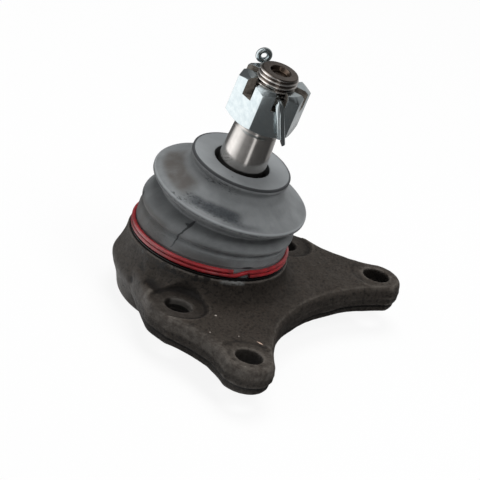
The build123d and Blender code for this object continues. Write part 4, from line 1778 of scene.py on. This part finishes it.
@dataclass
class BallStud:
    """Ball, neck, tapered shank and threaded end.

    Attributes:
        ball, neck, crest, recess: Radii of the ball, the neck, the thread and the end's recess.
        neck_top, taper_foot, taper_top, end: Heights above the ball's centre.
        taper_radius, taper: Radius at the taper's top, and its rise in radius per mm of height.
        step_in: Depth of the small step between taper and thread.
        plain: Height of the plain ring above the taper.
        chamfer, recess_depth: Sizes at the end face.
        pitch, thread_depth, thread_foot: The thread's rise per turn, its depth and where it starts.
        row: Height of one row of the threaded mesh.
        segments: Number of steps round the axis.
        ball_steps: Number of steps along the ball's section.
        crease: Angle in degrees from which an edge of the shank is shown sharp.
    """

    ball: float = 13.0
    neck: float = 7.2
    neck_top: float = 17.0
    taper_foot: float = 22.0
    taper_top: float = 47.2
    taper_radius: float = 7.55
    taper: float = 1.0 / 16.0
    step_in: float = 0.35
    plain: float = 1.2
    crest: float = 6.95
    end: float = 69.8
    chamfer: float = 0.8
    recess: float = 3.2
    recess_depth: float = 1.5
    pitch: float = 1.5
    thread_depth: float = 0.9
    thread_foot: float = 48.5
    row: float = 0.12
    segments: int = 144
    ball_steps: int = 40
    crease: float = 35.0

    def upright(self, radius: float, angle: float, height: float) -> Vector:
        """Return a place on the stud before it leans."""
        return Vector((radius * math.cos(angle), radius * math.sin(angle), height)) * MM

    def place(self, radius: float, angle: float, height: float) -> Vector:
        """Return a place on the leaning stud."""
        return Matrix.Rotation(LEAN, 3, "Y") @ self.upright(radius, angle, height)

    def ball_section(self) -> list[Point]:
        """Return the ball's section from its bottom to the neck.

        Returns:
            Radii and heights in mm.
        """
        sweep = math.pi / 2 + math.acos(self.neck / self.ball)
        angles = (sweep * k / self.ball_steps - math.pi / 2 for k in range(1, self.ball_steps + 1))
        round_part = [(self.ball * math.cos(angle), self.ball * math.sin(angle)) for angle in angles]
        return [(0.0, -self.ball)] + round_part

    def shank_section(self) -> list[Point]:
        """Return the section from the bottom of the ball to the thread.

        Returns:
            Radii and heights in mm.
        """
        ball = self.ball_section()
        foot = self.taper_radius + (self.taper_top - self.taper_foot) * self.taper
        top = self.taper_top + self.plain
        shank = [
            Corner(*ball[-1]),
            Corner(self.neck, self.neck_top, 2.5),
            Corner(foot, self.taper_foot, 2.5),
            Corner(self.taper_radius, self.taper_top - 0.2, 0.15),
            Corner(self.taper_radius - self.step_in, self.taper_top + 0.25, 0.15),
            Corner(self.crest, self.taper_top + 0.6, 0.1),
            Corner(self.crest, top, 0.1),
            Corner(0.0, top),
        ]
        return ball + rounded(shank, False, 1.0)[1:]

    def end_section(self) -> list[Point]:
        """Return the section of the threaded end, with close rows where the thread is cut.

        Returns:
            Radii and heights in mm.
        """
        foot, core = self.taper_top + 1.0, self.crest - 0.4
        shoulder, floor = self.end - self.chamfer, self.end - self.recess_depth
        side = rounded([Corner(self.crest, self.thread_foot), Corner(self.crest, shoulder)], False, self.row)
        face = [
            Corner(self.crest, shoulder),
            Corner(self.crest - self.chamfer, self.end, 0.2),
            Corner(self.recess + 0.4, self.end, 0.3),
            Corner(self.recess - 0.3, floor, 0.3),
            Corner(0.0, floor),
        ]
        blank = [(0.0, foot), (core, foot), (core, self.thread_foot - 0.3)]
        return blank + side + rounded(face, False, 0.2)[1:]

    def build(self, steel: bpy.types.Material, thread: bpy.types.Material) -> None:
        """Build the shank and the threaded end.

        Args:
            steel: Finish of the shank.
            thread: Finish of the threaded end.
        """
        shank = turned("stud_shank", self.shank_section(), False, self.segments, self.place)
        sharpen(shank, self.crease)
        dress(shank, steel)
        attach(shank, Body.STUD.value)
        finish_piece(shank, Slot.STEEL, "ball_stud")
        end = turned("stud_thread", self.end_section(), False, self.segments, self.upright)
        ThreadCut("cut_thread").apply(end, self, thread)
        bake(end)
        end.data.transform(Matrix.Rotation(LEAN, 4, "Y"))
        end.data.shade_smooth()
        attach(end, Body.STUD.value)
        finish_piece(end, Slot.STEEL, "ball_stud")


class ThreadCut:
    """Geometry Nodes tree that cuts a helical thread into a turned blank about Z.

    Attributes:
        INPUTS: Names and kinds of the inputs, which are in metres.
        STEEPNESS: Slope of the thread's flanks; 1 is a plain triangle.
        CREST_SHARE: Share of the depth by which the crest is flattened.
        FOOT_MARGIN: How far below its foot the thread may start, in metres.
        LEAST_RADIUS: Radius in metres below which nothing is divided by it.
    """

    INPUTS = {
        "Crest Radius": "NodeSocketFloat",
        "Thread Depth": "NodeSocketFloat",
        "Pitch": "NodeSocketFloat",
        "Foot": "NodeSocketFloat",
        "Finish": "NodeSocketMaterial",
    }
    STEEPNESS = 1.3
    CREST_SHARE = 0.16
    FOOT_MARGIN = 0.01 * MM
    LEAST_RADIUS = 0.001 * MM

    def __init__(self, name: str) -> None:
        """Build the tree with its named inputs.

        Args:
            name: Name of the tree.
        """
        self.tree = bpy.data.node_groups.new(name, "GeometryNodeTree")
        face = self.tree.interface
        face.new_socket("Geometry", in_out="INPUT", socket_type="NodeSocketGeometry")
        self.sockets = {
            key: face.new_socket(key, in_out="INPUT", socket_type=kind)
            for key, kind in self.INPUTS.items()
        }
        face.new_socket("Geometry", in_out="OUTPUT", socket_type="NodeSocketGeometry")
        self._wire()

    def _math(self, operation: str, a: Socket | float, b: Socket | float = 0.0) -> Socket:
        """Return the result of one math operation.

        Args:
            operation: Name of the operation.
            a: First number.
            b: Second number.

        Returns:
            The result.
        """
        node = self.tree.nodes.new("ShaderNodeMath")
        node.operation = operation
        for key, value in enumerate((a, b)):
            if isinstance(value, bpy.types.NodeSocket):
                self.tree.links.new(value, node.inputs[key])
            else:
                node.inputs[key].default_value = value
        return node.outputs["Value"]

    def _groove(self, x: Socket, y: Socket, z: Socket, pitch: Socket) -> Socket:
        """Return the share of the thread's depth that is cut away at a place.

        Args:
            x: X of the place.
            y: Y of the place.
            z: Height of the place.
            pitch: Rise of the thread in one turn.

        Returns:
            The share, from 0 to 1.
        """
        turn = self._math("DIVIDE", self._math("ARCTAN2", y, x), 2 * math.pi)
        phase = self._math("FRACT", self._math("SUBTRACT", self._math("DIVIDE", z, pitch), turn))
        ridge = self._math("ABSOLUTE", self._math("SUBTRACT", self._math("MULTIPLY", phase, 2.0), 1.0))
        groove = self._math("MINIMUM", self._math("MULTIPLY", ridge, self.STEEPNESS), 1.0)
        return self._math("MAXIMUM", self._math("SUBTRACT", groove, self.CREST_SHARE), 0.0)

    def _wire(self) -> None:
        """Wire the helix: a point keeps its radius unless the groove is deeper there."""
        nodes, links = self.tree.nodes, self.tree.links
        source = nodes.new("NodeGroupInput")
        split = nodes.new("ShaderNodeSeparateXYZ")
        links.new(nodes.new("GeometryNodeInputPosition").outputs["Position"], split.inputs["Vector"])
        x, y, z = split.outputs
        square = self._math("ADD", self._math("MULTIPLY", x, x), self._math("MULTIPLY", y, y))
        radius = self._math("SQRT", square)
        groove = self._groove(x, y, z, source.outputs["Pitch"])
        depth = self._math("MULTIPLY", groove, source.outputs["Thread Depth"])
        thread = self._math("SUBTRACT", source.outputs["Crest Radius"], depth)
        foot = self._math("SUBTRACT", source.outputs["Foot"], self.FOOT_MARGIN)
        above = self._math("GREATER_THAN", z, foot)
        cut = self._math("SUBTRACT", self._math("MINIMUM", radius, thread), radius)
        size = self._math("ADD", radius, self._math("MULTIPLY", cut, above))
        share = self._math("DIVIDE", size, self._math("MAXIMUM", radius, self.LEAST_RADIUS))
        join = nodes.new("ShaderNodeCombineXYZ")
        links.new(self._math("MULTIPLY", x, share), join.inputs["X"])
        links.new(self._math("MULTIPLY", y, share), join.inputs["Y"])
        links.new(z, join.inputs["Z"])
        move = nodes.new("GeometryNodeSetPosition")
        links.new(source.outputs["Geometry"], move.inputs["Geometry"])
        links.new(join.outputs["Vector"], move.inputs["Position"])
        real = nodes.new("GeometryNodeRealizeInstances")
        links.new(move.outputs["Geometry"], real.inputs["Geometry"])
        paint = nodes.new("GeometryNodeSetMaterial")
        links.new(real.outputs["Geometry"], paint.inputs["Geometry"])
        links.new(source.outputs["Finish"], paint.inputs["Material"])
        sink = nodes.new("NodeGroupOutput")
        links.new(paint.outputs["Geometry"], sink.inputs["Geometry"])

    def apply(self, blank: bpy.types.Object, stud: BallStud, material: bpy.types.Material) -> None:
        """Add the tree to a blank as a modifier.

        Args:
            blank: The turned blank, about Z.
            stud: The stud that the thread's sizes come from.
            material: Finish of the thread.
        """
        modifier = blank.modifiers.new(self.tree.name, "NODES")
        modifier.node_group = self.tree
        for key, value in (
            ("Crest Radius", stud.crest * MM),
            ("Thread Depth", stud.thread_depth * MM),
            ("Pitch", stud.pitch * MM),
            ("Foot", stud.thread_foot * MM),
            ("Finish", material),
        ):
            modifier[self.sockets[key].identifier] = value


@dataclass
class CastleNut:
    """Slotted nut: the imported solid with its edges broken.

    Attributes:
        edge, bevel_steps: Width of a broken edge and the number of faces across it.
        crease: Angle in degrees from which an edge is broken.
        slots: Number of slots.
        slot_turn: Direction of one slot in degrees, before the stud leans.
        slot_half: Half width of a slot.
        slot_floor: Height of its floor.
        side_margin, floor_margin: How far outside its walls and below its floor a face still counts.
        facing: Least share of a face's normal that points across the slot or up.
    """

    BARE = "bare"

    edge: float = 0.2
    bevel_steps: int = 3
    crease: float = 20.0
    slots: int = 6
    slot_turn: float = -49.0
    slot_half: float = 2.1
    slot_floor: float = 60.2
    side_margin: float = 0.03
    floor_margin: float = 0.1
    facing: float = 0.9

    def in_slot(self, point: Vector, normal: Vector) -> bool:
        """Say whether a face of the upright nut, in mm, lies inside one of the slots.

        Args:
            point: Middle of the face in mm.
            normal: Normal of the face.

        Returns:
            Whether it does.
        """
        if point.z < self.slot_floor - self.floor_margin:
            return False
        for index in range(self.slots):
            turn = math.radians(self.slot_turn + 360.0 / self.slots * index)
            outward = Vector((math.cos(turn), math.sin(turn), 0.0))
            across = Vector((-outward.y, outward.x, 0.0))
            within = abs(point.dot(across)) < self.slot_half + self.side_margin
            if not within or point.dot(outward) <= 0.0:
                continue
            if abs(normal.dot(across)) > self.facing or normal.z > self.facing:
                return True
        return False

    def build(self, zinc: bpy.types.Material) -> None:
        """Build the nut from a merged copy of its node.

        Args:
            zinc: Finish of the nut.
        """
        nut = softened("castle_nut_bevelled", "castle_nut", self.edge, self.bevel_steps, self.crease)
        upright = Matrix.Rotation(-LEAN, 3, "Y")
        faces = nut.data.polygons
        bare = [float(self.in_slot(upright @ f.center / MM, upright @ f.normal)) for f in faces]
        nut.data.attributes.new(self.BARE, "FLOAT", "FACE").data.foreach_set("value", bare)
        dress(nut, zinc)
        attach(nut, Body.STUD.value)
        finish_piece(nut, Slot.ZINC, "castle_nut")


FLAT_DEGREES = 0.5


def softened(name: str, node: str, width: float, steps: int, crease: float) -> bpy.types.Object:
    """Return a merged copy of a node with its sharp edges bevelled.

    Args:
        name: Name of the new piece.
        node: Node to copy.
        width: Width of the bevel in mm.
        steps: Number of faces across the bevel.
        crease: Angle in degrees from which an edge counts as sharp.

    Returns:
        The new piece.
    """
    mesh = merged(node)
    flat = math.radians(FLAT_DEGREES)
    bmesh.ops.dissolve_limit(mesh, angle_limit=flat, verts=mesh.verts, edges=mesh.edges)
    piece = new_piece(name, mesh)
    bevel = piece.modifiers.new("edges", "BEVEL")
    bevel.width = width * MM
    bevel.segments = steps
    bevel.limit_method = "ANGLE"
    bevel.angle_limit = math.radians(crease)
    bevel.harden_normals = True
    bake(piece)
    return piece


@dataclass
class Dressing:
    """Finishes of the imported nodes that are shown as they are.

    The plastics and rubbers have finer grain and smaller clouds than the metals.
    """

    cover: PlainFinish = PlainFinish("cover", rgb(0.40, 0.39, 0.37), rgb(0.26, 0.25, 0.235), 0.38)
    spring: PlainFinish = PlainFinish("spring_steel", rgb(0.24, 0.24, 0.25), rgb(0.15, 0.15, 0.16), 0.35)
    plug: PlainFinish = PlainFinish("plug_steel", rgb(0.52, 0.48, 0.38), rgb(0.38, 0.34, 0.26), 0.32)
    seal: PlainFinish = PlainFinish(
        "seal", rgb(0.018, 0.018, 0.018), rgb(0.03, 0.03, 0.03), 0.4, 0.0, cloud_size=3.0, grain_size=0.4
    )
    polymer: PlainFinish = PlainFinish(
        "bearing_polymer",
        rgb(0.74, 0.72, 0.64),
        rgb(0.66, 0.63, 0.55),
        0.45,
        0.0,
        cloud_size=3.0,
        grain_size=0.4,
    )

    def build(self) -> dict[Slot, bpy.types.Material]:
        """Make every finish, dress the nodes and return the finishes by slot.

        Returns:
            The finish of each slot.
        """
        finishes = {
            Slot.FORGING: Forging(),
            Slot.COVER: self.cover,
            Slot.RUBBER: BootRubber(),
            Slot.SEAL: self.seal,
            Slot.RED_WIRE: RedCoat(),
            Slot.STEEL: GroundSteel(),
            Slot.ZINC: Zinc(),
            Slot.SPRING: self.spring,
            Slot.POLYMER: self.polymer,
            Slot.PLUG: self.plug,
        }
        materials = {slot: finish.material() for slot, finish in finishes.items()}
        for part in frame["record"]["subparts"]:
            dress(frame["nodes"][part["node"]], materials[Slot(part["material_slot"])])
        return materials


@dataclass(frozen=True)
class Lamp:
    """Square lamp, placed as the camera sees the object.

    Attributes:
        name: Name of the lamp.
        place: Distances to the right, up and towards the camera in metres.
        size: Length of its side in metres.
        power: Power in watts.
    """

    name: str
    place: Triple
    size: float
    power: float


@dataclass
class Studio:
    """Pale floor, soft lamps and the camera at the photograph's angle.

    Attributes:
        azimuth, elevation, roll: Direction of the camera in degrees.
        distance: Distance of the camera from what it aims at, in metres.
        aim: Place that the camera aims at, in mm.
        lens, sensor, near: The camera's focal length and sensor in mm, and its near limit in metres.
        lamps: The lamps; none shows in reflections.
        sky_light: Strength of the light that the sky gives.
        floor_size: Length of the floor's side in metres.
        floor_paint, floor_share: Grey of the floor, and how far plain white replaces it where it is seen.
        card_radius, card_top: Radius and height in metres of the ring of cards.
        card_gap: Gap in mm between the cards and the floor.
        card_sides: Number of cards.
        tones: Brightness of the ring by the direction in degrees, where 0 faces the camera.
    """

    azimuth: float = 22.58
    elevation: float = 25.436
    roll: float = 16.37
    distance: float = 1.0
    aim: Triple = (8.106, 7.446, 2.910)
    lens: float = 220.5
    sensor: float = 36.0
    near: float = 0.05
    lamps: tuple[Lamp, ...] = (
        Lamp("top", (-0.05, 0.85, 0.15), 0.5, 8.0),
        Lamp("key", (0.3, 0.42, 0.5), 0.3, 2.8),
        Lamp("fill", (-0.6, 0.18, 0.4), 0.4, 1.0),
    )
    sky_light: float = 0.16
    floor_size: float = 6.0
    floor_paint: float = 0.62
    floor_share: float = 0.9
    card_radius: float = 0.105
    card_top: float = 0.24
    card_gap: float = 0.3
    card_sides: int = 96
    tones: tuple[Point, ...] = (
        (-180.0, 0.12),
        (-125.0, 0.14),
        (-108.0, 0.90),
        (-96.0, 1.60),
        (-72.0, 1.60),
        (-54.0, 1.15),
        (-40.0, 0.75),
        (-30.0, 0.35),
        (-4.0, 0.22),
        (8.0, 0.20),
        (12.0, 1.00),
        (19.0, 1.00),
        (25.0, 0.11),
        (60.0, 0.08),
        (105.0, 0.06),
        (120.0, 0.30),
        (135.0, 0.30),
        (146.0, 0.48),
        (168.0, 0.48),
        (180.0, 0.12),
    )

    def axes(self) -> tuple[Vector, Vector, Vector]:
        """Return the camera's right, up and back directions before the roll.

        Returns:
            Three unit vectors.
        """
        a, e = math.radians(self.azimuth), math.radians(self.elevation)
        back = Vector((math.sin(a) * math.cos(e), -math.cos(a) * math.cos(e), math.sin(e)))
        right = Vector((math.cos(a), math.sin(a), 0.0))
        return right, back.cross(right), back

    @staticmethod
    def show(name: str, data: bpy.types.ID) -> bpy.types.Object:
        """Put a camera or a lamp into the scene.

        Args:
            name: Name of the object.
            data: The camera or lamp.

        Returns:
            The new object.
        """
        thing = bpy.data.objects.new(name, data)
        bpy.context.scene.collection.objects.link(thing)
        return thing

    def camera(self) -> None:
        """Create the camera."""
        right, up, back = self.axes()
        turn = Matrix((right, up, back)).transposed() @ Matrix.Rotation(math.radians(self.roll), 3, "Z")
        data = bpy.data.cameras.new("camera")
        data.lens = self.lens
        data.sensor_width = self.sensor
        data.clip_start = self.near
        camera = self.show("camera", data)
        camera.matrix_world = Matrix.Translation(Vector(self.aim) * MM + back * self.distance) @ turn.to_4x4()
        bpy.context.scene.camera = camera

    def light(self, lamp: Lamp) -> None:
        """Hang one lamp, turned to what the camera aims at.

        Args:
            lamp: The lamp to hang.
        """
        data = bpy.data.lights.new(lamp.name, "AREA")
        data.size = lamp.size
        data.energy = lamp.power
        light = self.show(lamp.name, data)
        away = Matrix(self.axes()).transposed() @ Vector(lamp.place)
        light.location = Vector(self.aim) * MM + away
        light.rotation_euler = away.to_track_quat("Z", "Y").to_euler()
        light.visible_glossy = False

    @staticmethod
    def seen_directly(tree: bpy.types.NodeTree) -> Socket:
        """Return 1 for camera, glossy and transmission rays and 0 for the others.

        Args:
            tree: Node tree to add to.

        Returns:
            The number.
        """
        path = tree.nodes.new("ShaderNodeLightPath")
        total = path.outputs["Is Camera Ray"]
        for key in ("Is Glossy Ray", "Is Transmission Ray"):
            add = tree.nodes.new("ShaderNodeMath")
            add.operation = "MAXIMUM"
            tree.links.new(total, add.inputs[0])
            tree.links.new(path.outputs[key], add.inputs[1])
            total = add.outputs["Value"]
        return total

    def sky(self) -> None:
        """Make a world that looks white and lights softly."""
        world = bpy.data.worlds.new("studio")
        world.use_nodes = True
        tree = world.node_tree
        background = tree.nodes["Background"]
        background.inputs["Color"].default_value = rgb(1.0, 1.0, 1.0)
        level = tree.nodes.new("ShaderNodeMapRange")
        tree.links.new(self.seen_directly(tree), level.inputs["Value"])
        level.inputs["To Min"].default_value = self.sky_light
        level.inputs["To Max"].default_value = 1.0
        tree.links.new(level.outputs["Result"], background.inputs["Strength"])
        bpy.context.scene.world = world

    @staticmethod
    def stage_finish(name: str) -> tuple[bpy.types.Material, bpy.types.NodeTree, Socket]:
        """Return an empty material of the stage, its node tree and the input of its surface.

        Args:
            name: Name of the material.

        Returns:
            The material, the tree and the input.
        """
        material = bpy.data.materials.new(name)
        material.use_nodes = True
        tree = material.node_tree
        tree.nodes.clear()
        return material, tree, tree.nodes.new("ShaderNodeOutputMaterial").inputs["Surface"]

    def floor(self) -> None:
        """Lay a pale floor under the lowest point of the object."""
        mesh = bmesh.new()
        bmesh.ops.create_grid(mesh, x_segments=1, y_segments=1, size=self.floor_size / 2)
        floor = new_piece("floor", mesh)
        floor.location.z = cad_box[0].z
        material, tree, surface = self.stage_finish("floor")
        paint = tree.nodes.new("ShaderNodeBsdfDiffuse")
        paint.inputs["Color"].default_value = rgb(self.floor_paint, self.floor_paint, self.floor_paint)
        glow = tree.nodes.new("ShaderNodeEmission")
        glow.inputs["Color"].default_value = rgb(1.0, 1.0, 1.0)
        share = tree.nodes.new("ShaderNodeMath")
        share.operation = "MULTIPLY"
        share.inputs[1].default_value = self.floor_share
        tree.links.new(self.seen_directly(tree), share.inputs[0])
        mix = tree.nodes.new("ShaderNodeMixShader")
        tree.links.new(share.outputs["Value"], mix.inputs["Fac"])
        tree.links.new(paint.outputs["BSDF"], mix.inputs[1])
        tree.links.new(glow.outputs["Emission"], mix.inputs[2])
        tree.links.new(mix.outputs["Shader"], surface)
        dress(floor, material)

    def card_tones(self) -> bpy.types.Material:
        """Make the cards' glow, dark and light by direction.

        Returns:
            The finish of the cards.
        """
        material, tree, surface = self.stage_finish("tent")
        split = tree.nodes.new("ShaderNodeSeparateXYZ")
        place = tree.nodes.new("ShaderNodeTexCoord").outputs["Object"]
        tree.links.new(place, split.inputs["Vector"])
        turn = tree.nodes.new("ShaderNodeMath")
        turn.operation = "ARCTAN2"
        tree.links.new(split.outputs["Y"], turn.inputs[0])
        tree.links.new(split.outputs["X"], turn.inputs[1])
        share = tree.nodes.new("ShaderNodeMapRange")
        tree.links.new(turn.outputs["Value"], share.inputs["Value"])
        share.inputs["From Min"].default_value = -math.pi
        share.inputs["From Max"].default_value = math.pi
        ramp = tree.nodes.new("ShaderNodeValToRGB")
        tree.links.new(share.outputs["Result"], ramp.inputs["Fac"])
        stops = ramp.color_ramp.elements
        while len(stops) > 1:
            stops.remove(stops[-1])
        for index, (angle, level) in enumerate(self.tones):
            along = (angle + 180.0) / 360.0
            stop = stops.new(along) if index else stops[0]
            stop.position = along
            stop.color = rgb(level, level, level)
        glow = tree.nodes.new("ShaderNodeEmission")
        tree.links.new(ramp.outputs["Color"], glow.inputs["Color"])
        tree.links.new(glow.outputs["Emission"], surface)
        return material

    def tent(self) -> None:
        """Stand dark and light cards round the object, which only reflections show."""
        mesh = bmesh.new()
        foot = cad_box[0].z + self.card_gap * MM
        height, wide = self.card_top - foot, self.card_radius
        bmesh.ops.create_cone(
            mesh, cap_ends=True, segments=self.card_sides, radius1=wide, radius2=wide, depth=height
        )
        tent = new_piece("tent", mesh)
        tent.location.z = foot + height / 2
        tent.rotation_euler.z = math.radians(self.azimuth - 90.0)
        dress(tent, self.card_tones())
        tent.visible_camera = False
        tent.visible_diffuse = False
        tent.visible_shadow = False
        tent.visible_transmission = False

    def build(self) -> None:
        """Set up the camera, the sky, the floor, the cards and the lamps."""
        self.camera()
        self.sky()
        self.floor()
        self.tent()
        for lamp in self.lamps:
            self.light(lamp)
        bpy.context.scene.view_settings.view_transform = "Standard"


def main() -> None:
    """Build the pieces in order, then the studio."""
    logging.basicConfig(level=logging.INFO, format="%(name)s %(message)s")
    finishes = Dressing().build()
    ForgedHousing().build(finishes[Slot.FORGING])
    Boot().build(finishes[Slot.RUBBER])
    BallStud().build(finishes[Slot.STEEL], ThreadSteel().material())
    CastleNut().build(Zinc("zinc_nut", slots=True).material())
    Studio().build()
    bpy.context.view_layer.update()


if __name__ == "__main__":
    main()
